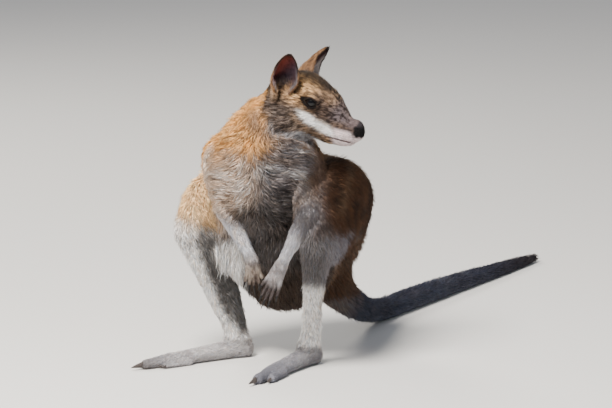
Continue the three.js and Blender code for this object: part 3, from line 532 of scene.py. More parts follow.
def skin_mesh(coarse=1.0):
    c = coarse
    xs = spaced([-136, (-6, 3.4 * c), (28, 2.0 * c), (214, 1.35 * c)])
    ys = spaced([-318, (-216, 2.2 * c), (-50, 1.35 * c), (830, 5.0 * c)])
    zs = spaced([-6, (46, 2.4 * c), (112, 4.2 * c), (196, 1.7 * c), (352, 4.2 * c), (520, 1.35 * c)])
    say("grid", len(xs), len(ys), len(zs))
    g = 11.0
    cx, cy, cz = [np.arange(a[0] - 1, a[-1] + g + 1, g) for a in (xs, ys, zs)]
    P = np.stack(np.meshgrid(cx, cy, cz, indexing="ij"), -1).reshape(-1, 3)
    C = field(P).reshape(len(cx), len(cy), len(cz))
    say("coarse field", len(P))

    def along(arr, axis, src, dst):
        f = np.clip((dst - src[0]) / g, 0, len(src) - 1.001)
        i = f.astype(int)
        w = (f - i).reshape([-1 if a == axis else 1 for a in range(3)])
        return np.take(arr, i, axis) * (1 - w) + np.take(arr, i + 1, axis) * w
    V = along(along(along(C, 0, cx, xs), 1, cy, ys), 2, cz, zs).astype(np.float32)
    near = np.flatnonzero(np.abs(V.reshape(-1)) < 13)
    nx, ny, nz = V.shape
    i, j, k = np.unravel_index(near, V.shape)
    flat = V.reshape(-1)
    for part in np.array_split(np.arange(len(near)), max(1, len(near) // 200000)):
        flat[near[part]] = field(np.stack([xs[i[part]], ys[j[part]], zs[k[part]]], 1))
    say("fine field", len(near))
    S = V < 0
    c8 = [S[a:nx - 1 + a, b:ny - 1 + b, cc:nz - 1 + cc] for a in (0, 1) for b in (0, 1) for cc in (0, 1)]
    n_in = sum(q.astype(np.int8) for q in c8)
    act = (n_in > 0) & (n_in < 8)
    ci, cj, ck = np.nonzero(act)
    ids = np.full(act.shape, -1, np.int32)
    ids[ci, cj, ck] = np.arange(len(ci))
    acc = np.zeros((len(ci), 3))
    cnt = np.zeros(len(ci))
    corners = [(a, b, cc) for a in (0, 1) for b in (0, 1) for cc in (0, 1)]
    vals = {q: V[ci + q[0], cj + q[1], ck + q[2]] for q in corners}
    pos = {q: np.stack([xs[ci + q[0]], ys[cj + q[1]], zs[ck + q[2]]], 1) for q in corners}
    for q in corners:
        for ax in range(3):
            if q[ax]:
                continue
            r = tuple(v + (1 if a == ax else 0) for a, v in enumerate(q))
            va, vb = vals[q], vals[r]
            m = (va < 0) != (vb < 0)
            t = (va / np.where(m, va - vb, 1))[:, None]
            acc[m] += (pos[q] + (pos[r] - pos[q]) * t)[m]
            cnt[m] += 1
    W = acc / cnt[:, None]
    cell_lo, cell_hi = pos[(0, 0, 0)], pos[(1, 1, 1)]
    half = (cell_hi - cell_lo) * 0.5
    mid = (cell_hi + cell_lo) * 0.5
    for _ in range(2):
        f, gr = gradient(W)
        W = W - gr * (f / np.maximum((gr * gr).sum(1), 0.25))[:, None]
        W = np.clip(W, mid - half * 1.05, mid + half * 1.05)
    quads = []
    for ax in range(3):
        a, b = [q for q in range(3) if q != ax]
        sl0 = [slice(1, -1)] * 3
        sl0[ax] = slice(0, -1)
        sl1 = list(sl0)
        sl1[ax] = slice(1, None)
        s0, s1 = S[tuple(sl0)], S[tuple(sl1)]
        e = np.stack(np.nonzero(s0 != s1), 1)
        inside = s0[tuple(e.T)]
        base = e.copy()
        base[:, a] += 1
        base[:, b] += 1

        def cell(da, db):
            q = base.copy()
            q[:, a] += da
            q[:, b] += db
            return ids[tuple(q.T)]
        Q = np.stack([cell(-1, -1), cell(0, -1), cell(0, 0), cell(-1, 0)], 1)
        flip = inside if ax != 1 else ~inside
        Q[~flip] = Q[~flip][:, ::-1]
        quads.append(Q)
    Q = np.vstack(quads)
    say("skin", len(W), "vertices", len(Q), "quads")
    return W, Q


def make_mesh(name, verts_mm, faces_loops, loop_counts, smooth_faces=True):
    """A mesh from flat arrays; verts in skeleton millimetres."""
    me = bpy.data.meshes.new(name)
    v = ((verts_mm + SHIFT) / 1000.0).astype(np.float32)
    me.vertices.add(len(v))
    me.vertices.foreach_set("co", v.reshape(-1))
    loops = np.asarray(faces_loops, np.int32).reshape(-1)
    me.loops.add(len(loops))
    me.loops.foreach_set("vertex_index", loops)
    counts = np.asarray(loop_counts, np.int32)
    starts = np.concatenate([[0], np.cumsum(counts)[:-1]]).astype(np.int32)
    me.polygons.add(len(counts))
    me.polygons.foreach_set("loop_start", starts)
    me.polygons.foreach_set("loop_total", counts)
    me.update(calc_edges=True)
    me.polygons.foreach_set("use_smooth", np.full(len(counts), smooth_faces))
    me.update()
    ob = bpy.data.objects.new(name, me)
    bpy.context.scene.collection.objects.link(ob)
    return ob


def colour_layer(ob, rgb):
    layer = ob.data.color_attributes.new("Coat", "FLOAT_COLOR", "POINT")
    rgba = np.ones((len(rgb), 4), np.float32)
    rgba[:, :3] = rgb
    layer.data.foreach_set("color", rgba.reshape(-1))


def neighbours_mean(n, E, X, w=None):
    """Mean of X over the mesh neighbours of each vertex."""
    s = np.zeros_like(X)
    c = np.zeros(n)
    np.add.at(s, E[:, 0], X[E[:, 1]])
    np.add.at(s, E[:, 1], X[E[:, 0]])
    np.add.at(c, E[:, 0], 1)
    np.add.at(c, E[:, 1], 1)
    return s / np.maximum(c, 1).reshape([-1] + [1] * (X.ndim - 1))


def edges_of(Q):
    E = np.sort(np.vstack([Q[:, [0, 1]], Q[:, [1, 2]], Q[:, [2, 3]], Q[:, [3, 0]]]), 1)
    return np.unique(E, axis=0)


def vertex_normals(W, Q):
    n = np.cross(W[Q[:, 2]] - W[Q[:, 0]], W[Q[:, 3]] - W[Q[:, 1]])
    out = np.zeros_like(W)
    for a in range(4):
        np.add.at(out, Q[:, a], n)
    return units(out)


# ------------------------------------------------------------------ noise
_table = np.random.default_rng(77).random(8192)


def noise(P, size, seed=0):
    """Smooth value noise in -1..1 over cells of the given size."""
    q = P / size + seed * 17.31
    i = np.floor(q).astype(np.int64)
    f = q - i
    f = f * f * (3 - 2 * f)
    out = np.zeros(len(P))
    for a in (0, 1):
        for b in (0, 1):
            for c in (0, 1):
                h = ((i[:, 0] + a) * 73856093 ^ (i[:, 1] + b) * 19349663 ^ (i[:, 2] + c) * 83492791 ^ seed * 2654435) & 8191
                w = (f[:, 0] if a else 1 - f[:, 0]) * (f[:, 1] if b else 1 - f[:, 1]) * (f[:, 2] if c else 1 - f[:, 2])
                out += w * _table[h]
    return out * 2 - 1


def srgb(r, g, b):
    c = A([r, g, b], float) / 255
    return np.where(c <= 0.04045, c / 12.92, ((c + 0.055) / 1.055) ** 2.4)


def mix(a, b, w):
    w = np.asarray(w)
    if w.ndim == 1:
        w = w[:, None]
    return a + (b - a) * w


# ------------------------------------------------------------------ skin
W, Q = skin_mesh(1.0)
# the tail ends inside the faceted model, and so does everything else
W[:, 1] -= 4.0 * smooth(740, 806, W[:, 1])
W = np.clip(W, A(BOX_LO) * 1000 - SHIFT + A([0.5, 0.5, 0.05]), A(BOX_HI) * 1000 - SHIFT - 0.5)
E = edges_of(Q)
N = vertex_normals(W, Q)
tri_area = 0.5 * (np.linalg.norm(np.cross(W[Q[:, 1]] - W[Q[:, 0]], W[Q[:, 2]] - W[Q[:, 0]]), axis=1)
                  + np.linalg.norm(np.cross(W[Q[:, 2]] - W[Q[:, 0]], W[Q[:, 3]] - W[Q[:, 0]]), axis=1))
out = N[Q[:, 0]] * 0
if np.einsum("ij,ij->i", W[Q].mean(1) - W.mean(0), np.cross(W[Q[:, 2]] - W[Q[:, 0]], W[Q[:, 3]] - W[Q[:, 1]])).sum() < 0:
    Q = Q[:, ::-1]
    N = -N
say("area", round(tri_area.sum() / 1e6, 3), "m2", "lo", (W.min(0) + SHIFT).round(1), "hi", (W.max(0) + SHIFT).round(1))

PARTS = {"head": skull, "neck": neck_only, "torso": torso, "tail": tail_only}
for k in SIDES:
    PARTS["ear" + k] = ears[k]
    PARTS["haunch" + k] = LEG[k]["haunch"]
    PARTS["shin" + k] = LEG[k]["shin"]
    PARTS["foot" + k] = LEG[k]["foot"]
    PARTS["upper" + k] = ARM[k]["upper"]
    PARTS["fore" + k] = ARM[k]["fore"]
    PARTS["hand" + k] = ARM[k]["hand"]
BIAS = {"head": 2.5, "neck": 3.0, "torso": 9, "tail": 3.0, "ear": 0, "haunch": 8, "shin": 4, "foot": 1.3, "upper": 6.5,
        "fore": 3.2, "hand": 0.6}
BIAS = {n: BIAS[n.rstrip("RL")] for n in PARTS}


def weights(P, tau=5.0):
    """Share of each part at points P, as a dict of arrays."""
    names = list(PARTS)
    D = np.stack([PARTS[n](P) + BIAS[n] for n in names], 1)
    H = to_head(P)
    ahead = smooth(-62, -44, H[:, 0] + 0.25 * H[:, 2]) * smooth(60, 45, np.abs(H[:, 1]))
    D[:, names.index("neck")] += 40 * ahead
    D[:, names.index("torso")] += 30 * ahead * smooth(-75, -50, H[:, 2])
    D[:, names.index("head")] += 25 * (1 - smooth(-76, -50, H[:, 0] + 0.25 * H[:, 2]))
    for k in SIDES:  # an ear begins at its base, above that the hair belongs to the head
        D[:, names.index("ear" + k)] += 40 * smooth(12, 1, ear_coords(P, EAR[k])[2])
    D -= D.min(1, keepdims=True)
    w = np.exp(-D / tau)
    w /= w.sum(1, keepdims=True)
    return {n: w[:, i] for i, n in enumerate(names)}


TAIL_LINE = line(TAIL, 60)[:, :3]
TAIL_DIR = units(np.gradient(TAIL_LINE, axis=0))


WHORL = A([57, -202, 297.0])
WHORL_OUT = unit([0.5, -0.85, 0.0])


def lie(P, wt):
    """Direction in which the hair points."""
    H = to_head(P)
    s = np.sign(H[:, 1])
    d = np.zeros_like(P)
    # head: from the nose back, turning down on the cheeks
    hd = np.stack([-np.ones(len(P)), 0.25 * s, -0.35 * smooth(10, -25, H[:, 2]) + 0.1 * smooth(10, 30, H[:, 2])], 1) @ HEAD
    d += hd * wt["head"][:, None]
    for k in SIDES:
        d += EAR[k]["d"] * wt["ear" + k][:, None]
    away = P - WHORL
    nk = mix(A([-0.35, 0.3, -0.9]), units(away), smooth(0.1, 0.6, (P - A([70, -130, 0])) @ unit([0.5, -0.85, 0]) / 40) * 0.0)
    d += nk * wt["neck"][:, None]
    # trunk: down the back towards the tail, down over flanks and belly
    front = smooth(-60, -190, P[:, 1])
    tr = mix(A([-0.1, 0.62, -0.75]), A([0.0, 0.1, -1.0]), front)
    away = P - WHORL
    across = unit([0.788, 0.616, 0])
    u = away @ across + 5 * noise(P, 30, 51)
    r = np.linalg.norm(away, axis=1)
    down = -0.22 - 0.8 * np.exp(-(u / 13) ** 2) + 0.35 * smooth(10, 60, u) * smooth(270, 300, P[:, 2])
    parting = across * np.tanh(u / 15)[:, None] + A([0, 0, 1.0]) * down[:, None]
    near = smooth(112, 70, r) * smooth(228, 262, P[:, 2])
    tr = mix(tr, parting, np.clip(near, 0, 1))
    d += tr * wt["torso"][:, None]
    for a in range(0, 1):
        near = np.argmin(((P[:, None, 1:] - TAIL_LINE[None, ::3, 1:]) ** 2).sum(2), 1) * 3
        d += TAIL_DIR[np.minimum(near, len(TAIL_DIR) - 1)] * wt["tail"][:, None]
    for k, s1 in SIDES.items():
        L, Rm = LEG[k], ARM[k]
        d += unit([0, 0.42, -0.9]) * wt["haunch" + k][:, None]
        d += unit(unit(ANKLE[k] - KNEE[k]) + A([0, 0, -0.3])) * wt["shin" + k][:, None]
        d += unit(L["fd"] + A([0, 0, -0.15])) * wt["foot" + k][:, None]
        d += unit(ELBOW[k] - SHOULDER[k] + A([0, 10, 0])) * wt["upper" + k][:, None]
        d += unit(WRIST[k] - ELBOW[k] + A([0, 0, -20])) * wt["fore" + k][:, None]
        d += Rm["d"] * wt["hand" + k][:, None]
    return d


WT = weights(W)
D0 = lie(W, WT)
D0 = units(D0 - N * np.einsum("ij,ij->i", D0, N)[:, None])
for _ in range(6):
    D0 = D0 + neighbours_mean(len(W), E, D0)
    D0 = units(D0 - N * np.einsum("ij,ij->i", D0, N)[:, None])
say("lie of the coat")


# ------------------------------------------------------------------ markings and painted shade
GOLD = srgb(208, 150, 82)
SAND = srgb(204, 164, 116)
TAN = srgb(152, 108, 66)
GREY_BROWN = srgb(108, 88, 70)
WHITE = srgb(238, 235, 233)
CREAM = srgb(236, 196, 144)
PALE_GREY = srgb(190, 186, 187)
MID_GREY = srgb(136, 131, 132)
SHADED_SLATE = srgb(48, 56, 74)
BROWN = srgb(68, 45, 29)
# the deep brown below is used only for painted shade on the animal's left side
SHADE_BROWN = srgb(38, 26, 19)
INK = srgb(16, 14, 15)
EAR_RED = srgb(92, 38, 28)
EAR_DARK = srgb(46, 34, 42)


def markings_and_shade(P, n, wt):
    """Colour of skin and coat, linear, at points P with outward normals n; besides the markings it holds painted
    shade, mostly on the animal's left side.
    """
    H = to_head(P)
    x, y, z = H[:, 0], H[:, 1], H[:, 2]
    ay = np.abs(y)
    big, mid_n, fine = noise(P, 46, 1), noise(P, 17, 2), noise(P, 6, 3)
    X, Y, Z = P.T
    V = X * 0.788 + Y * 0.616  # across the front
    F = -X * 0.616 + Y * 0.788  # front to back
    L = Z + 0.185 * F + 3 * mid_n  # height along a line rising towards the front
    out = n @ unit([0.55, -0.83, -0.1])  # how far it faces the front and the left
    # trunk: brown grey on the back; the left side darker by painted shade
    c = mix(GREY_BROWN, TAN, 0.55 + 0.4 * big)
    c = mix(c, GOLD, smooth(150, 250, Z + 25 * big) * 0.30)
    # painted shade: the animal's left side of the trunk is painted dark brown
    left = smooth(22, 58, V + 8 * big) * smooth(0.45, 0.0, out)
    c = mix(c, mix(BROWN, SHADE_BROWN, 0.35 + 0.4 * mid_n), left * 0.92)
    c = mix(c, mix(BROWN, GREY_BROWN, 0.5), smooth(60, -10, V) * smooth(0.0, -0.5, out) * 0.5)
    # chest: tan on the right, grey with white locks on the left
    g = mix(srgb(108, 102, 102), srgb(64, 60, 62), smooth(-0.1, 0.7, mid_n + 0.6 * fine))
    g = mix(g, WHITE, smooth(0.2, 0.75, noise(P * A([1, 1, 2.6]), 20, 5)) * (0.22 + 0.26 * smooth(-60, -20, V)) * smooth(240, 262, L))
    g = mix(g, srgb(104, 86, 72), smooth(0.15, 0.8, noise(P * A([1, 1, 2.0]), 28, 6)) * (0.55 - 0.3 * smooth(-60, -20, V)))
    tan_w = smooth(-68, -94, V + 6 * big) * smooth(196, 222, L - 0.25 * (V + 90))
    g = mix(g, mix(srgb(178, 154, 134), srgb(210, 198, 190), smooth(-0.3, 0.7, fine + 0.5 * mid_n)), tan_w * 0.85)
    # belly: grey brown between the arms, darkened there as painted shade, white fluff on the right flank
    # partly painted shade: the belly's own grey brown, made darker between the arms
    belly_grey_and_shade = smooth(-116, -100, V) * smooth(14, 2, V) * smooth(274, 248, L + 0.012 * (V + 50) ** 2)
    g = mix(g, mix(srgb(88, 83, 82), srgb(62, 55, 52), smooth(-0.4, 0.6, mid_n + 0.4 * fine)), belly_grey_and_shade * 0.95)
    # painted shade: the lower belly is painted dark brown
    g = mix(g, srgb(66, 54, 46), smooth(160, 125, L) * smooth(-96, -80, V) * 0.9)
    fluff = smooth(-88, -104, V + 5 * mid_n) * smooth(196, 176, L - 0.25 * (V + 110))
    g = mix(g, mix(WHITE, PALE_GREY, 0.25 + 0.35 * fine), fluff)
    chest = smooth(-0.15, 0.4, out + 0.12 * mid_n)
    c = mix(c, g, chest)
    # painted shade: the low part of the left haunch, down to the tail root, is painted brown
    low_left_shade = smooth(-5, 2, V - 55 + (167 - L) * 0.375) * smooth(84, 94, L) * smooth(230, 200, L)
    c = mix(c, mix(BROWN, GREY_BROWN, 0.2 + 0.2 * mid_n), low_left_shade * 0.92)
    # right flank: pale tan with brown streaks
    flank = smooth(-118, -138, V) * smooth(316, 296, L) * smooth(176, 196, L) * smooth(0.75, 0.3, out)
    c = mix(c, mix(srgb(196, 164, 132), srgb(140, 112, 90), smooth(0.1, 0.7, noise(P * A([1, 1, 0.4]), 9, 17))), flank * 0.85)
    # shoulder and nape: golden, only on the animal's right; the left shoulder gets painted shade in deep brown instead
    gold = smooth(305, 340, L + 0.22 * (-V - 56) + 7 * mid_n) * smooth(1.04, 0.86, out + 0.0042 * (V + 62))
    c = mix(c, mix(GOLD, SAND, 0.25 + 0.35 * fine), np.clip(gold, 0, 1) * 0.95 * smooth(18, -12, V))
    # painted shade: deep brown over the left shoulder and the left of the neck
    c = mix(c, SHADE_BROWN, smooth(4, 20, V) * smooth(250, 290, L) * smooth(0.75, 0.45, out) * 0.8)
    for k, s in SIDES.items():
        hw = wt["haunch" + k]
        lateral = n @ unit([s, 0.25, 0.15])
        if k == "L":
            # painted shade: the left haunch is painted dark brown where the right one is pale grey and tan; the paler
            # hip stripe on it is a real marking
            hc = mix(BROWN, SHADE_BROWN, smooth(-0.5, 0.6, mid_n + 0.3 * big) * 0.9)
            hc = mix(hc, mix(GREY_BROWN, BROWN, 0.3), np.exp(-((V - 45 - 0.19 * (L - 222)) / 6.5) ** 2) * smooth(212, 232, L) * smooth(322, 290, L) * 0.55)
            # painted shade: the pale fur of the thigh front is painted in dim greys
            pale_in_painted_shade = mix(mix(srgb(72, 68, 72), srgb(116, 114, 122), smooth(22, 44, V)), srgb(84, 70, 58), smooth(52, 78, V))
            pale = smooth(194, 176, L - 13 * smooth(34, 61, V) + 7 * noise(P, 10, 71)) * smooth(4, -5, V - 55 + (167 - L) * 0.375 + 2.5 * noise(P, 8, 72)) * smooth(-0.35, 0.05, n @ unit([0.62, -0.79, 0]))
            hc = mix(hc, mix(pale_in_painted_shade, srgb(84, 78, 80), 0.35 + 0.35 * mid_n), pale * 0.95)
            hc = mix(hc, MID_GREY, np.exp(-((V - 80) / 6) ** 2 - ((L - 180) / 12) ** 2) * 0.7)
            inside = smooth(0.1, 0.7, -lateral)
            hc = mix(hc, srgb(112, 106, 106), inside * smooth(230, 200, Z) * 0.7)
        else:
            hc = mix(PALE_GREY, TAN, smooth(-0.2, 0.5, lateral + 0.2 * big))
            hc = mix(hc, mix(GREY_BROWN, TAN, 0.4), smooth(0.1, 0.7, n @ unit([-0.2, 1, 0.2])) * 0.6)
            hc = mix(hc, mix(CREAM, GOLD, 0.12 + 0.25 * mid_n), smooth(0.45, 0.0, n @ unit([0.1, 1, 0])) * smooth(192, 208, L + 4 * mid_n) * 0.9)
            hc = mix(hc, WHITE, smooth(206, 186, L + 5 * mid_n) * smooth(0.5, 0.0, n @ unit([0.1, 1, 0])))
        c = mix(c, hc, hw)
        behind = smooth(0.1, 0.8, n @ unit([0.25 * s, 1, 0]))
        sc = mix(mix(WHITE, PALE_GREY, 0.1 + 0.3 * fine), GREY_BROWN, behind * smooth(60, 110, Z) * 0.55)
        sc = mix(sc, MID_GREY, smooth(0.35, 0.9, noise(P, 15, 8)) * 0.35)
        if k == "R":
            # painted shade: the inner side of the right shank is painted near black
            sc = mix(sc, srgb(36, 33, 34), smooth(0.05, 0.5, n @ unit([0.8, 0.6, 0])) * smooth(26, 56, Z) * 0.9)
        else:
            # painted shade: the left ankle is painted bluish grey, leading into the painted shade of the left foot
            sc = mix(sc, srgb(120, 120, 128), smooth(34, 16, Z) * 0.5)
            # painted shadow: the top of the left shank, below the knee, is painted dark grey and brown
            upper = mix(mix(srgb(62, 58, 62), srgb(114, 112, 120), smooth(20, 44, V)), srgb(52, 40, 32), smooth(52, 76, V))
            sc = mix(sc, upper, smooth(98, 120, L) * 0.9)
        c = mix(c, sc, wt["shin" + k])
        reach = (P - HEEL[k]) @ LEG[k]["fd"] / 202
        fcol = mix(mix(WHITE, PALE_GREY, 0.55 + 0.4 * mid_n), MID_GREY, smooth(0.1, 0.7, noise(P, 8, 19)) * 0.4)
        fcol = mix(fcol, srgb(138, 134, 138), 0.45)
        fcol = mix(fcol, srgb(116, 114, 120), smooth(0.5, 0.9, reach) * 0.6)
        fcol = mix(fcol, srgb(88, 82, 80), smooth(0.84, 0.97, reach) * 0.6 + smooth(5, 2, Z) * 0.4)
        if k == "L":
            # painted shade: the left foot is painted bluish grey, darker towards the toes
            fcol = mix(fcol, srgb(104, 106, 118), 0.35 + 0.35 * smooth(0.2, 0.7, reach))
        c = mix(c, fcol, wt["foot" + k])
        uc = mix(mix(srgb(198, 166, 136), srgb(214, 202, 192), 0.5 + 0.5 * fine), GOLD, smooth(306, 336, Z) * smooth(0.6, 0.1, out))
        uc = mix(uc, mix(GOLD, CREAM, 0.4), np.exp(-((Z - 258) / 20) ** 2) * smooth(0.5, -0.1, n @ unit([0.8, 0.1, 0])) * 0.75)
        uc = mix(uc, WHITE, smooth(252, 232, Z) * (0.75 if k == "R" else 0.0))
        if k == "L":
            # painted shade: the left upper arm is painted dark grey, brown on its outer side
            uc = mix(uc, mix(srgb(104, 100, 102), srgb(86, 72, 62), 0.5 + 0.5 * mid_n), 0.92)
            uc = mix(uc, BROWN, smooth(0.1, 0.6, n @ unit([0.8, 0.5, 0])) * 0.7)
        c = mix(c, uc, wt["upper" + k])
        ac = mix(srgb(226, 226, 232), srgb(176, 174, 182), 0.4 + 0.5 * fine)
        ac = mix(ac, SAND, smooth(0.2, 0.9, noise(P, 9, 7)) * 0.3)
        if k == "L":
            # painted shade: the left forearm is painted darker near the elbow
            ac = mix(ac, srgb(98, 94, 98), smooth(50, 20, np.linalg.norm(P - ELBOW[k], axis=1)) * 0.85)
        c = mix(c, ac, wt["fore" + k])
        reach = np.linalg.norm(P - WRIST[k], axis=1)
        hcol = mix(srgb(146, 134, 124), srgb(96, 84, 78), smooth(-0.2, 0.6, fine)) if k == "R" else mix(srgb(180, 176, 178), srgb(138, 130, 130), 0.5 + 0.5 * fine)
        hcol = mix(hcol, srgb(52, 42, 40), smooth(22, 40, reach) * 0.9)
        c = mix(c, hcol, wt["hand" + k])
    # tail: pale at the root, blue grey along it, darkened in part as painted shade, dark at the end
    tc = mix(mix(GREY_BROWN, MID_GREY, 0.5), SHADED_SLATE, smooth(60, 120, Y + 14 * mid_n))
    tc = mix(tc, srgb(108, 114, 128), smooth(0.2, -0.8, n[:, 2]) * 0.45 * smooth(60, 150, Y))
    tc = mix(tc, srgb(96, 100, 112), smooth(0.0, 0.8, noise(P, 12, 21)) * 0.35)
    tc = mix(tc, INK, smooth(560, 780, Y) * 0.7)
    # painted shade: the tail root on the left side carries the same painted brown
    tc = mix(tc, BROWN, low_left_shade * smooth(130, 95, Y) * 0.85)
    c = mix(c, tc, wt["tail"])
    # neck: golden nape, grey throat
    throat = smooth(-0.2, 0.25, n @ unit([0.75, -0.5, -0.45]) + 0.12 * mid_n)
    nc = mix(mix(GOLD, srgb(168, 122, 78), 0.3 + 0.5 * fine), mix(srgb(104, 98, 100), srgb(150, 146, 148), 0.4 + 0.6 * mid_n), throat)
    nc = mix(nc, mix(BROWN, TAN, 0.4), smooth(0.1, 0.7, n @ unit([0.2, 1, 0.1])) * 0.6)
    c = mix(c, nc, wt["neck"])
    # back, rump and back of the neck: an even grey brown
    rear = smooth(0.0, -0.5, out) * (wt["torso"] + wt["neck"] + wt["haunchR"] + wt["haunchL"]) * smooth(110, 180, Z)
    c = mix(c, mix(srgb(134, 108, 84), srgb(88, 70, 56), 0.5 + 0.5 * mid_n), np.clip(rear, 0, 1) * 0.68)
    # head: brown grey cheek, darkened in part as painted shade, gold brown brow, freckled
    fleck = smooth(-0.3, 0.3, noise(P * A([1, 1, 1]), 2.8, 31) + 0.6 * noise(P, 1.7, 32))
    hc = mix(srgb(158, 130, 104), srgb(58, 46, 40), fleck * 0.85)
    # partly painted shade: the cheek's brown grey is made darker than its own colour
    hc = mix(hc, mix(mix(srgb(108, 96, 90), srgb(158, 142, 130), smooth(-14, -26, z) * smooth(-2, 12, x)), srgb(46, 39, 36), fleck), smooth(4, -14, z) * smooth(40, 4, x) * 0.92)
    hc = mix(hc, mix(srgb(212, 170, 122), srgb(98, 76, 58), fleck * 0.9), smooth(30, 16, np.hypot(x - 6, 0.9 * (z - 24))) * 0.9)
    # dark mask from the eye down to the muzzle
    sz = -11 - 0.5 * (x - 13) + 0.0022 * (x - 13) ** 2
    half = 4.2 + 4.8 * smooth(10, 28, x) - 2.5 * smooth(52, 76, x)
    mask = smooth(-2, 4, z - sz - half) * smooth(26, 38, x) * smooth(2, 7, ay) * smooth(26, 12, z + 0.35 * (x - 30))
    hc = mix(hc, mix(srgb(82, 68, 62), srgb(34, 27, 25), fleck), mask * 0.92)
    hc = mix(hc, mix(srgb(98, 88, 90), srgb(38, 32, 33), fleck), smooth(50, 64, x) * smooth(-16, -8, z) * 0.9)
    # white stripe from below the eye to the upper lip
    stripe = np.exp(-(np.abs((z - sz) / (half * (0.9 + 0.16 * fine)))) ** 3.0) * smooth(6, 22, x + 3 * fine) * smooth(92, 78, x) * smooth(3, 8, ay)
    hc = mix(hc, srgb(252, 250, 249), np.clip(stripe, 0, 1) * 0.98)
    jaw = smooth(-15, -19, z - sz + half + 2.0 * fine + 22 * smooth(26, -6, x)) * smooth(-12, 2, x) + smooth(-47, -54, z + 2 * fine) * smooth(2, -12, x)
    hc = mix(hc, mix(srgb(214, 211, 214), srgb(140, 136, 138), fleck * 0.6), np.clip(jaw, 0, 1) * 0.92)
    wedge = np.exp(-((z - sz + half + 6.5) / 4.6) ** 2) * smooth(-6, 12, x) * smooth(58, 38, x)
    hc = mix(hc, mix(srgb(150, 124, 102), srgb(104, 90, 80), fleck), wedge * 0.8)
    lips = smooth(60, 72, x) * smooth(-19, -25, z + 1.5 * fine)
    hc = mix(hc, srgb(214, 198, 200), lips * 0.9)
    hc = mix(hc, srgb(92, 80, 80), smooth(78, 88, x) * smooth(-20, -12, z) * 0.8)
    # dark crown and bridge
    w_c = 10.0 + 10.0 * smooth(52, 5, x) + 2.0 * fine
    crown = np.exp(-(ay / w_c) ** 4) * smooth(-0.3, 0.25, n @ HEAD[2] + 0.25 * smooth(20, 60, x)) * smooth(86, 66, x) * smooth(-20, -8, z)
    crown = crown * (1 - 0.55 * smooth(34, 60, x) * (1 - fleck))
    hc = mix(hc, srgb(26, 20, 17), np.clip(crown, 0, 1) * 0.96)
    # whisker dots
    row = np.round((z + 30) / 3.4)
    dot = np.hypot((x - 76 - 1.7 * (row % 2)) / 3.6 - np.round((x - 76 - 1.7 * (row % 2)) / 3.6), (z + 30) / 3.4 - row)
    dots = smooth(0.30, 0.18, dot) * smooth(64, 68, x) * smooth(90, 86, x) * smooth(-20, -23, z) * smooth(-38, -35, z) * smooth(4, 7, ay)
    hc = mix(hc, srgb(120, 104, 102), dots * 0.8)
    # nose, eye surround, mouth
    nose = smooth(1.12, 0.9, np.sqrt(((x - 98) / 15.5) ** 2 + (y / 14.5) ** 2 + ((z + 19 - 0.25 * (x - 98)) / 13.5) ** 2) + 0.14 * noise(P, 3.5, 51))
    # painted highlight: the upper part of the nose pad is painted lighter, as a sheen
    hc = mix(hc, mix(INK, srgb(52, 47, 50), smooth(-14, -8, z) * 0.8), nose)
    for k, s in SIDES.items():
        q = P - EYES[k]
        r = np.linalg.norm(q, axis=1)
        a_, b_, _ = eye_axes(k, q)
        ring = np.sqrt((a_ / 14.5) ** 2 + ((b_ + 0.12 * a_) / 8.6) ** 2)
        side_ok = smooth(-2, 4, s * (q @ HEAD[1]))
        hc = mix(hc, srgb(44, 31, 28), smooth(1.15, 0.9, ring) * side_ok * smooth(22, 18, r))
        hc = mix(hc, srgb(14, 10, 10), smooth(0.95, 0.8, ring) * side_ok * smooth(22, 18, r))
    t = np.clip((92 - x) / 48, -0.2, 1)
    hc = mix(hc, srgb(92, 70, 68), np.exp(-((z - mouth_height(x)) / 1.5) ** 2) * smooth(50, 58, x) * smooth(97, 92, x) * 0.8)
    c = mix(c, hc, wt["head"])
    # ears: sandy behind; inside red above, purple brown below, black rim
    for k in SIDES:
        ex, eo, eh = ear_coords(P, EAR[k])
        t, rnd, half, off = ear_arc(eh)
        rho = np.hypot(ex, eo - off)
        q = np.abs(np.arctan2(ex, -(eo - off)))
        inner = smooth(rnd - 1.4, rnd - 2.0, rho)
        back_c = mix(srgb(148, 110, 78), srgb(74, 56, 44), 0.35 + 0.5 * smooth(-0.4, 0.4, noise(P, 3.0, 33)))
        inside = mix(EAR_DARK, EAR_RED, smooth(18, 74, eh + 8 * noise(P, 12, 41) + 1.9 * ex * EAR[k]["s"]) * 0.85)
        inside = mix(inside, mix(srgb(96, 82, 74), srgb(52, 42, 42), 0.5 + 0.5 * fine), smooth(20, 6, eh) * 0.8)
        inside = mix(inside, MID_GREY, smooth(0.6, 1.0, q / np.maximum(half, 0.1)) * smooth(60, 30, eh) * 0.35)
        if k == "L":
            # painted shade: the inside of the left ear is painted near black
            inside = mix(inside, srgb(40, 25, 30), 0.85)
            inside = mix(inside, srgb(190, 176, 170), smooth(0.5, 0.85, ex / np.maximum(rnd, 1)) * smooth(70, 50, eh))
        ec = mix(back_c, inside, inner)
        rim = np.clip(smooth(0.84, 0.96, q / np.maximum(half, 0.1)) * smooth(26, 50, eh) + smooth(62, 69, eh), 0, 1)
        ec = mix(ec, srgb(22, 17, 17), rim * 0.92)
        c = mix(c, ec, wt["ear" + k])
    c = c * (1 + 0.10 * fine + 0.06 * mid_n)[:, None]
    return np.clip(c, 0.002, 0.95)


COL = markings_and_shade(W, N, WT)
say("markings_and_shade")

skin = make_mesh("skin", W, Q.reshape(-1), np.full(len(Q), 4))
colour_layer(skin, COL)


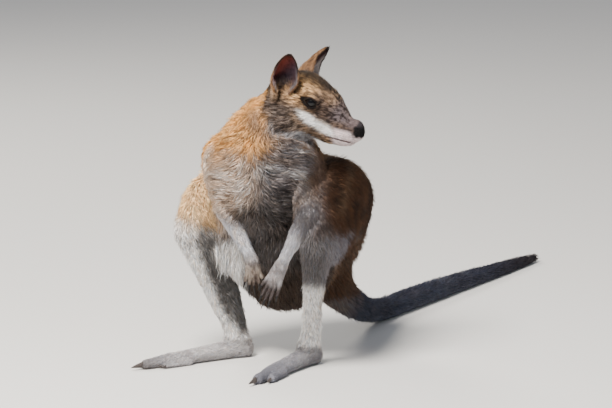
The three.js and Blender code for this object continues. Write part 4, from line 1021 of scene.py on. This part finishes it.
# ------------------------------------------------------------------ materials
def material(name, rough=0.7, colour=None, attribute=None, bump=0.0, scale=400.0, coat=0.0, specular=0.35, sheen=0.0, gain=1.0):
    m = bpy.data.materials.new(name)
    m.use_nodes = True
    nt = m.node_tree
    p = nt.nodes["Principled BSDF"]
    p.inputs["Roughness"].default_value = rough
    p.inputs["Specular IOR Level"].default_value = specular
    if coat:
        p.inputs["Coat Weight"].default_value = coat
        p.inputs["Coat Roughness"].default_value = 0.03
    if sheen:
        p.inputs["Sheen Weight"].default_value = sheen
        p.inputs["Sheen Roughness"].default_value = 0.5
    if attribute:
        a = nt.nodes.new("ShaderNodeAttribute")
        a.attribute_name = attribute
        nz = nt.nodes.new("ShaderNodeTexNoise")
        nz.inputs["Scale"].default_value = scale
        nz.inputs["Detail"].default_value = 3
        co = nt.nodes.new("ShaderNodeTexCoord")
        nt.links.new(co.outputs["Object"], nz.inputs["Vector"])
        rg = nt.nodes.new("ShaderNodeMapRange")
        rg.inputs["To Min"].default_value = 0.78 * gain
        rg.inputs["To Max"].default_value = 1.22 * gain
        nt.links.new(nz.outputs["Fac"], rg.inputs["Value"])
        mu = nt.nodes.new("ShaderNodeVectorMath")
        mu.operation = "SCALE"
        nt.links.new(a.outputs["Color"], mu.inputs[0])
        nt.links.new(rg.outputs["Result"], mu.inputs["Scale"])
        nt.links.new(mu.outputs["Vector"], p.inputs["Base Color"])
        if bump:
            bp = nt.nodes.new("ShaderNodeBump")
            bp.inputs["Strength"].default_value = bump
            bp.inputs["Distance"].default_value = 0.001
            nt.links.new(nz.outputs["Fac"], bp.inputs["Height"])
            nt.links.new(bp.outputs["Normal"], p.inputs["Normal"])
    else:
        p.inputs["Base Color"].default_value = (*[float(v) for v in colour], 1)
    return m


SKIN = material("hide", 0.85, attribute="Coat", bump=0.5, scale=900, specular=0.12)
COAT = material("hair", 0.7, attribute="Coat", scale=260, specular=0.14)
skin.data.materials.append(SKIN)


# ------------------------------------------------------------------ the same unwrap for skin and coat
def unwrap(ob):
    for o in bpy.context.selected_objects:
        o.select_set(False)
    bpy.context.view_layer.objects.active = ob
    ob.select_set(True)
    ob.data.uv_layers.new(name="OFBake")
    bpy.ops.object.mode_set(mode="EDIT")
    bpy.ops.mesh.select_all(action="SELECT")
    bpy.ops.uv.smart_project(angle_limit=math.radians(66), island_margin=0.002)
    bpy.ops.object.mode_set(mode="OBJECT")
    uv = np.empty(len(ob.data.loops) * 2, np.float32)
    ob.data.uv_layers["OFBake"].data.foreach_get("uv", uv)
    ob.select_set(False)
    return uv.reshape(-1, 4, 2)


UV = unwrap(skin)
say("unwrap")


# ------------------------------------------------------------------ eyes and claws
def ball(name, centre, axis, radius):
    """Eyeball whose pole looks along axis, with pupil, iris and rim as colours of its points."""
    n_r, n_s = 28, 40
    fr = frame_of(axis)
    pts, loops, counts = [centre + fr[0] * radius], [], []
    for i in range(1, n_r):
        q = math.pi * i / n_r
        for j in range(n_s):
            w = 2 * math.pi * j / n_s
            pts.append(centre + fr[0] * radius * math.cos(q) + (fr[1] * math.cos(w) + fr[2] * math.sin(w)) * radius * math.sin(q))
    pts.append(centre - fr[0] * radius)
    for j in range(n_s):
        loops += [0, 1 + j, 1 + (j + 1) % n_s]
        counts.append(3)
    for i in range(n_r - 2):
        for j in range(n_s):
            a, b = 1 + i * n_s + j, 1 + i * n_s + (j + 1) % n_s
            loops += [a, a + n_s, b + n_s, b]
            counts.append(4)
    last = len(pts) - 1
    base = 1 + (n_r - 2) * n_s
    for j in range(n_s):
        loops += [base + j, last, base + (j + 1) % n_s]
        counts.append(3)
    pts = A(pts)
    ob = make_mesh(name, pts, loops, counts)
    ang = np.degrees(np.arccos(np.clip((units(pts - centre)) @ fr[0], -1, 1)))
    c = mix(srgb(4, 4, 6), srgb(18, 11, 9), smooth(26, 32, ang))
    c = mix(c, srgb(9, 6, 6), smooth(46, 56, ang))
    colour_layer(ob, c)
    return ob


EYE = material("eye_gloss", 0.07, attribute="Coat", coat=0.1, specular=0.25, scale=60)
for k in SIDES:
    e = ball("eyeball_" + WORD[k], EYES[k], GAZE[k], EYE_RADIUS)
    e.data.materials.append(EYE)
    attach(e, "root")
    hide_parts("eye_" + WORD[k])


def horn(name, base, direction, curl, length, radius, bend):
    """Curved claw with a round section, a blunt keel below and a fine point."""
    d = unit(direction)
    side = unit(np.cross(d, curl))
    rings, n_s, n_r = [], 14, 12
    for i in range(n_r + 1):
        t = i / n_r
        r = radius * (1 - t) ** 0.75 * (1 - 0.1 * t) + 0.12
        if i == 0:
            r *= 0.9
        c = base + d * length * t + curl * bend * length * t * t
        dd = unit(d + curl * 2 * bend * t)
        up = np.cross(side, dd)
        rings.append([c + side * math.cos(w) * r * 0.8 + up * -math.sin(w) * r * 1.1
                      for w in np.arange(n_s) / n_s * 2 * math.pi])
    pts = [p for r in rings for p in r] + [base - d * 0.3, base + d * length * 1.01 + curl * bend * length]
    loops, counts = [], []
    for i in range(n_r):
        for j in range(n_s):
            a, b = i * n_s + j, i * n_s + (j + 1) % n_s
            loops += [a, b, b + n_s, a + n_s]
            counts.append(4)
    a, b = len(pts) - 2, len(pts) - 1
    for j in range(n_s):
        loops += [a, (j + 1) % n_s, j]
        loops += [b, n_r * n_s + j, n_r * n_s + (j + 1) % n_s]
        counts += [3, 3]
    pts = np.clip(A(pts), A(BOX_LO) * 1000 - SHIFT + A([0.3, 0.3, 0.1]), A(BOX_HI) * 1000 - SHIFT - 0.3)
    ob = make_mesh(name, pts, loops, counts)
    return ob


CLAW = material("horn", 0.4, attribute="Coat", specular=0.22, scale=500, bump=0.15)


def finish_claw(ob, node, tip):
    ob.data.materials.append(CLAW)
    co = np.empty(len(ob.data.vertices) * 3, np.float32)
    ob.data.vertices.foreach_get("co", co)
    p = co.reshape(-1, 3) * 1000 - SHIFT
    t = np.linspace(0, 1, 1)
    colour_layer(ob, np.tile(srgb(20, 18, 18) if "hand" in node else srgb(66, 60, 58), (len(p), 1)) * (1 + 0.25 * noise(p, 2.5, 9))[:, None])
    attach(ob, "root")
    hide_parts(node)


for k in SIDES:
    for i, (end, u, curl, length) in enumerate(ARM[k]["claws"]):
        node = "claw_hand_%s_%d" % (WORD[k], i + 1)
        lo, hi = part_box(node)
        ob = horn("talon_hand_%s_%d" % (WORD[k], i + 1), end - u * 1.6, u, curl, length + 1.4, 2.3, 0.3)
        finish_claw(ob, node, end)
    for name, (b, u, cl, cr) in LEG[k]["claws"].items():
        node = "claw_foot_%s_%s" % (WORD[k], name)
        d = unit(u * A([1, 1, 0]))
        ob = horn("talon_foot_%s_%s" % (WORD[k], name), b - u * 2 + A([0, 0, 0.4]), d, A([0, 0, -1.0]), cl + 2, cr * 0.95, 0.1)
        finish_claw(ob, node, b)

BODY_NODES = ["head", "neck", "trunk", "tail_base", "tail_middle", "tail_tip"]
for k in SIDES:
    BODY_NODES += [n + "_" + WORD[k] for n in ("ear", "upper_arm", "forearm", "hand", "thigh", "shank", "foot")]
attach(skin, "root")
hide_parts(*BODY_NODES)


# ------------------------------------------------------------------ coat
TRI = np.vstack([Q[:, [0, 1, 2]], Q[:, [0, 2, 3]]])
TRI_UV = np.vstack([UV[:, [0, 1, 2]], UV[:, [0, 2, 3]]])
order = np.argsort(np.concatenate([np.arange(len(Q)) * 2, np.arange(len(Q)) * 2 + 1]), kind="stable")
TRI, TRI_UV = TRI[order], TRI_UV[order]
tn = np.cross(W[TRI[:, 1]] - W[TRI[:, 0]], W[TRI[:, 2]] - W[TRI[:, 0]])
AREA = 0.5 * np.linalg.norm(tn, axis=1)


def by_part(default=0.0, **values):
    """Blends one number per part over the skin's points; R and L take the same number."""
    out = np.zeros(len(W))
    for n, w in WT.items():
        out += w * values.get(n, values.get(n.rstrip("RL"), default))
    return out


HV = to_head(W)
ALONG_TAIL = smooth(60, 800, W[:, 1])
front = N @ unit([0.5, -0.8, -0.25])
chest_w = smooth(0.1, 0.7, front) * smooth(215, 262, W[:, 2]) * smooth(392, 372, W[:, 2]) * WT["torso"]
face = smooth(20, 75, HV[:, 0])
LENGTH = by_part(head=0, neck=15, torso=19, tail=0, ear=4.5, haunch=19, shin=12, foot=6, upper=15, fore=9, hand=4)
LENGTH += WT["head"] * (9.5 - 6.3 * face - 2.0 * smooth(5, 25, HV[:, 2])) + WT["tail"] * (14 - 7 * ALONG_TAIL)
ACROSS = W[:, 0] * 0.788 + W[:, 1] * 0.616
FLUFF = smooth(-84, -104, ACROSS) * smooth(200, 170, W[:, 2]) * smooth(-60, -100, W[:, 1]) * WT["torso"]
LENGTH += 8 * chest_w + 5 * smooth(150, 95, W[:, 2]) * WT["torso"] + 12 * FLUFF
HEIGHT = by_part(head=0, neck=6.0, torso=8.2, tail=0, ear=0.9, haunch=7.4, shin=3.6, foot=1.3, upper=4.0, fore=1.8, hand=0.7)
HEIGHT += WT["head"] * (2.9 - 2.2 * face) + WT["tail"] * (4.2 - 2.4 * ALONG_TAIL) + 2.5 * chest_w + 2.5 * FLUFF
WIDTH = by_part(head=0.85, neck=1.25, torso=1.5, tail=1.3, ear=0.75, haunch=1.45, shin=1.2, foot=0.9, upper=1.35, fore=1.0, hand=0.75)
WIDTH -= WT["head"] * 0.3 * face
CLUMP = by_part(head=0.12, neck=0.3, torso=0.36, tail=0.2, ear=0.05, haunch=0.34, shin=0.3, foot=0.15, upper=0.4, fore=0.25, hand=0.05)
CLUMP += 0.22 * chest_w
SPREAD = by_part(head=0.16, neck=0.24, torso=0.26, tail=0.14, ear=0.16, haunch=0.24, shin=0.2, foot=0.16, upper=0.3, fore=0.2, hand=0.14)
DENSE = by_part(head=1.15, neck=0.40, torso=0.26, tail=0.34, ear=0.8, haunch=0.26, shin=0.42, foot=0.75, upper=0.36, fore=0.75, hand=1.1)
DENSE *= 1 + 0.6 * chest_w


def bald(P):
    """1 where no hair grows: eyes and lids, nose pad and soles."""
    H = to_head(P)
    b = np.zeros(len(P))
    for k in SIDES:
        b = np.maximum(b, smooth(EYE_RADIUS + 3.0, EYE_RADIUS + 2.0, np.linalg.norm(P - EYES[k], axis=1)))
    nose = np.sqrt((H[:, 0] - 96) ** 2 / 1.2 + (H[:, 1] / 1.15) ** 2 + (H[:, 2] + 15.5) ** 2)
    b = np.maximum(b, smooth(8.6, 7.6, nose))
    b = np.maximum(b, smooth(1.6, 1.0, P[:, 2]))
    return b


BALD = bald(W)
for k in SIDES:
    low = 1 - smooth(14, 30, ear_coords(W, EAR[k])[2])
    LENGTH += WT["ear" + k] * 5.5 * low
    HEIGHT += WT["ear" + k] * 1.6 * low
for k in SIDES:
    ex, eo, eh = ear_coords(W, EAR[k])
    t, rnd, half, off = ear_arc(eh)
    inner = smooth(rnd - 1.4, rnd - 2.4, np.hypot(ex, eo - off)) * smooth(18, 30, eh)
    BALD = np.maximum(BALD, inner * (WT["ear" + k] > 0.5) * 0.85)


def freckled(P, c):
    """Share of banded dark hair among the pale: the head, except where it is white."""
    return weights(P, 4.0)["head"] * smooth(0.62, 0.42, c.mean(1))


def pick_grain(P):
    """How much neighbouring tufts differ in tone: most on the head and the chest."""
    w = weights(P, 4.0)
    return 0.15 + 0.15 * w["head"] + 0.07 * w["torso"] + 0.05 * w["upperR"] + 0.05 * w["neck"]


def scatter(mask, count, seed):
    """Roots spread over the skin where mask is above nought, by density."""
    r = np.random.default_rng(seed)
    dens = (DENSE * (1 - BALD) * mask)[TRI].mean(1) * AREA
    cum = np.cumsum(dens)
    u = (np.arange(count) + r.random(count)) / count * cum[-1]
    f = np.minimum(np.searchsorted(cum, u), len(TRI) - 1)
    a, b = r.random(count), r.random(count)
    flip = a + b > 1
    a[flip], b[flip] = 1 - a[flip], 1 - b[flip]
    bar = np.stack([1 - a - b, a, b], 1)
    pick = lambda X: np.einsum("ij,ij...->i...", bar, X[TRI[f]])
    return {"p": pick(W), "n": units(pick(N)), "t": pick(D0), "L": pick(LENGTH), "h": pick(HEIGHT), "w": pick(WIDTH),
            "clump": pick(CLUMP), "spread": pick(SPREAD), "uv": np.einsum("ij,ijk->ik", bar, TRI_UV[f]),
            "chest": pick(chest_w), "r": r}


def grow(name, mask, count, seed, bent=True, cell=9.0, tint=None):
    """One piece of the coat: closed three-sided tufts, bent in the middle or straight."""
    g = scatter(mask, count, seed)
    r, p, n, t, L, h, w = g["r"], g["p"], g["n"], g["t"], g["L"], g["h"], g["w"]
    m = len(p)
    L = L * np.clip(1 + 0.28 * r.standard_normal(m), 0.5, 1.7)
    h = h * np.clip(1 + 0.25 * r.standard_normal(m), 0.35, 1.6)
    w = w * np.clip(1 + 0.2 * r.standard_normal(m), 0.6, 1.5)
    side = units(np.cross(n, t))
    turn = g["spread"] * (1.1 * noise(p, 26, 11) + 0.8 * noise(p, 9, 12) + 0.55 * r.standard_normal(m))
    t = units(t * np.cos(turn)[:, None] + side * np.sin(turn)[:, None])
    t = units(t - n * np.einsum("ij,ij->i", t, n)[:, None])
    side = units(np.cross(n, t))
    bow = (0.5 * noise(p, 18, 13) + 0.25 * r.standard_normal(m)) * (0.10 + 0.22 * g["chest"])
    mid = p + t * (L * 0.45)[:, None] + side * (L * bow)[:, None]
    tip = p + t * (L * 0.97)[:, None] - side * (L * bow * 0.3)[:, None]
    # locks: tips of neighbours draw together
    q = p + np.stack([noise(p, 14, 14), noise(p, 14, 15), noise(p, 14, 16)], 1) * 5
    key = np.floor(q / (cell * (1 + 0.7 * g["chest"].mean()))).astype(np.int64)
    _, inv = np.unique(key, axis=0, return_inverse=True)
    inv = inv.reshape(-1)
    cnt = np.bincount(inv)
    mean = np.stack([np.bincount(inv, tip[:, a]) / cnt for a in range(3)], 1)[inv]
    pull = (g["clump"] * np.clip(1 + 0.4 * r.standard_normal(m), 0, 1.8))[:, None]
    tip = tip + (mean - tip) * pull
    mid = mid + (mean - tip) * pull * 0.2
    lock_tone = np.random.default_rng(seed + 5).standard_normal(len(cnt))[inv]
    # heights over the skin
    mid = mid + n * (0.62 * h - field(mid))[:, None]
    tip = tip + n * (np.clip(h * (1.0 + 0.25 * lock_tone), 0.3, 14) - field(tip))[:, None]
    root = p - n * (0.25 + 0.12 * w)[:, None]
    floor_z = 0.35
    for a in (mid, tip):
        a[:, 2] = np.maximum(a[:, 2], floor_z)
    lo, hi = A(BOX_LO) * 1000 - SHIFT + 0.4, A(BOX_HI) * 1000 - SHIFT - 0.4
    mid, tip = np.clip(mid, lo, hi), np.clip(tip, lo, hi)
    c = markings_and_shade(p, n, weights(p, 4.0))
    grain = pick_grain(p)
    tone = 1 + grain * r.standard_normal(m) + 0.12 * lock_tone * g["clump"] * 2
    banded = (r.random(m) < 0.34) * freckled(p, c)
    speck = freckled(p, c)
    tone = tone * (1 - 0.4 * banded) * (1 + 0.26 * speck * np.clip(lock_tone, -1.6, 1.6))
    c = c * np.clip(tone, 0.45, 1.6)[:, None]
    warm = 1 + 0.05 * r.standard_normal(m)
    c = c * np.stack([warm, np.ones(m), 2 - warm], 1)
    W2 = w[:, None] * 0.5
    if bent:
        v = np.stack([root + side * W2, root - side * W2, root + n * W2,
                      mid + side * W2 * 0.8, mid - side * W2 * 0.8, mid + n * W2 * 0.7, tip], 1)
        faces = A([[0, 2, 1], [0, 1, 4], [0, 4, 3], [1, 2, 5], [1, 5, 4], [2, 0, 3], [2, 3, 5], [3, 4, 6], [4, 5, 6], [5, 3, 6]])
        shade = A([0.62, 0.62, 0.66, 0.95, 0.95, 1.0, 1.12])
        uvo = A([[-1, -1], [1, -1], [0, -0.7], [-0.7, 0], [0.7, 0], [0, 0.2], [0, 1]])
    else:
        v = np.stack([root + side * W2, root - side * W2, root + n * W2 * 1.1, tip], 1)
        faces = A([[0, 2, 1], [0, 1, 3], [1, 2, 3], [2, 0, 3]])
        shade = A([0.74, 0.74, 0.8, 1.12])
        uvo = A([[-1, -1], [1, -1], [0, -0.4], [0, 1]])
    v = np.clip(v, A(BOX_LO) * 1000 - SHIFT + A([0.3, 0.3, 0.05]), hi)
    nv = v.shape[1]
    F = (faces[None] + (np.arange(m) * nv)[:, None, None]).reshape(-1)
    ob = make_mesh(name, v.reshape(-1, 3), F, np.full(m * len(faces), 3))
    rgb = np.clip(c[:, None] * shade[None, :, None], 0.001, 0.95).reshape(-1, 3)
    colour_layer(ob, rgb)
    uv = (g["uv"][:, None] + uvo[None] * 0.0015).astype(np.float32)
    layer = ob.data.uv_layers.new(name="OFBake")
    loops = uv.reshape(-1, 2)[F.astype(np.int64)]
    layer.data.foreach_set("uv", loops.reshape(-1))
    ob.data.materials.append(COAT)
    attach(ob, "root")
    say(name, m, "tufts", m * len(faces), "triangles")
    return ob


K = 1.0
LAND = {
    "head": WT["head"] + WT["earR"] + WT["earL"],
    "neck": WT["neck"],
    "tail": WT["tail"],
    "haunchR": WT["haunchR"], "haunchL": WT["haunchL"],
    "legs": WT["shinR"] + WT["shinL"],
    "feet": WT["footR"] + WT["footL"],
    "arms": WT["upperR"] + WT["upperL"],
    "hands": WT["foreR"] + WT["foreL"] + WT["handR"] + WT["handL"],
}
front_side = smooth(-0.15, 0.25, N @ unit([0.62, -0.75, 0.0]))
LAND["chest"] = WT["torso"] * front_side
LAND["back"] = WT["torso"] * (1 - front_side)
names = list(LAND)
best = np.argmax(np.stack([LAND[n] for n in names], 1), 1)
for i, n in enumerate(names):
    LAND[n] = (best == i).astype(float)


def amount(name):
    """How many tufts the density asks for on a piece."""
    return (DENSE * (1 - BALD) * LAND[name])[TRI].mean(1) @ AREA


plan = {n: amount(n) for n in names}
say("tufts asked for", {n: int(v) for n, v in plan.items()})
BENT = {"neck": 13500, "chest": 19900, "back": 18500, "haunchR": 15500, "haunchL": 15500, "legs": 12500, "arms": 11000, "tail": 12000}
STRAIGHT = {"head": 48000, "feet": 13000, "hands": 12000}
for i, (n, limit) in enumerate(list(BENT.items()) + list(STRAIGHT.items())):
    bent = n in BENT
    count = int(min(limit, 19900 if bent else 49500) * K)
    grow("coat_" + n, LAND[n], count, 100 + i, bent=bent, cell=8.0 if bent else (2.8 if n == "head" else 5.0))


# ------------------------------------------------------------------ stage, light and camera
def sheet_object(name, verts, faces, mat):
    me = bpy.data.meshes.new(name)
    me.from_pydata(verts, [], faces)
    me.update()
    ob = bpy.data.objects.new(name, me)
    bpy.context.scene.collection.objects.link(ob)
    me.materials.append(mat)
    return ob


pale = bpy.data.materials.new("pale_floor")
pale.use_nodes = True
pale.node_tree.nodes["Principled BSDF"].inputs["Base Color"].default_value = (0.62, 0.61, 0.59, 1)
pale.node_tree.nodes["Principled BSDF"].inputs["Roughness"].default_value = 0.9
floor = sheet_object("floor", [(-30, -30, 0), (30, -30, 0), (30, 30, 0), (-30, 30, 0)], [(0, 1, 2, 3)], pale)
floor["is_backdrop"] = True

world = bpy.data.worlds.new("studio")
bpy.context.scene.world = world
world.use_nodes = True
world.node_tree.nodes["Background"].inputs["Color"].default_value = (0.86, 0.9, 1.0, 1)
world.node_tree.nodes["Background"].inputs["Strength"].default_value = 0.42


def lamp(name, place, aim, size, energy, colour):
    li = bpy.data.lights.new(name, "AREA")
    li.shape = "DISK"
    li.size = size
    li.energy = energy
    li.color = colour
    ob = bpy.data.objects.new(name, li)
    bpy.context.scene.collection.objects.link(ob)
    ob.location = place
    ob.rotation_euler = (Vector(aim) - Vector(place)).to_track_quat("-Z", "Y").to_euler()
    return ob


AZ, EL, FAR_M = math.radians(38), math.radians(10.5), 7.0
look = Vector([float(v) / 1000 for v in A([0, 0, 233.0]) + SHIFT])
# az 38: the camera stands forward and to the animal's right of its left side
place = look + FAR_M * Vector((math.sin(AZ) * math.cos(EL), -math.cos(AZ) * math.cos(EL), math.sin(EL)))
cam_data = bpy.data.cameras.new("camera")
cam_data.sensor_width = 36
cam_data.lens = 262.3
cam = bpy.data.objects.new("camera", cam_data)
bpy.context.scene.collection.objects.link(cam)
cam.location = place
cam.rotation_euler = (look - place).to_track_quat("-Z", "Y").to_euler()
bpy.context.scene.camera = cam

right = Vector((math.cos(AZ), math.sin(AZ), 0))
toward = Vector((math.sin(AZ), -math.cos(AZ), 0))
lamp("key", look - 0.8 * right + 1.6 * toward + Vector((0, 0, 2.2)), look, 1.1, 270, (1.0, 0.95, 0.88))
lamp("fill", look + 2.4 * right + 1.8 * toward + Vector((0, 0, 1.0)), look, 2.2, 16, (0.84, 0.91, 1.0))
lamp("back", look - 1.4 * right - 2.2 * toward + Vector((0, 0, 1.9)), look, 1.2, 70, (1.0, 0.95, 0.86))

new_lo, new_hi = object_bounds()
say("box", [round(float(v), 4) for v in new_lo], [round(float(v), 4) for v in new_hi])
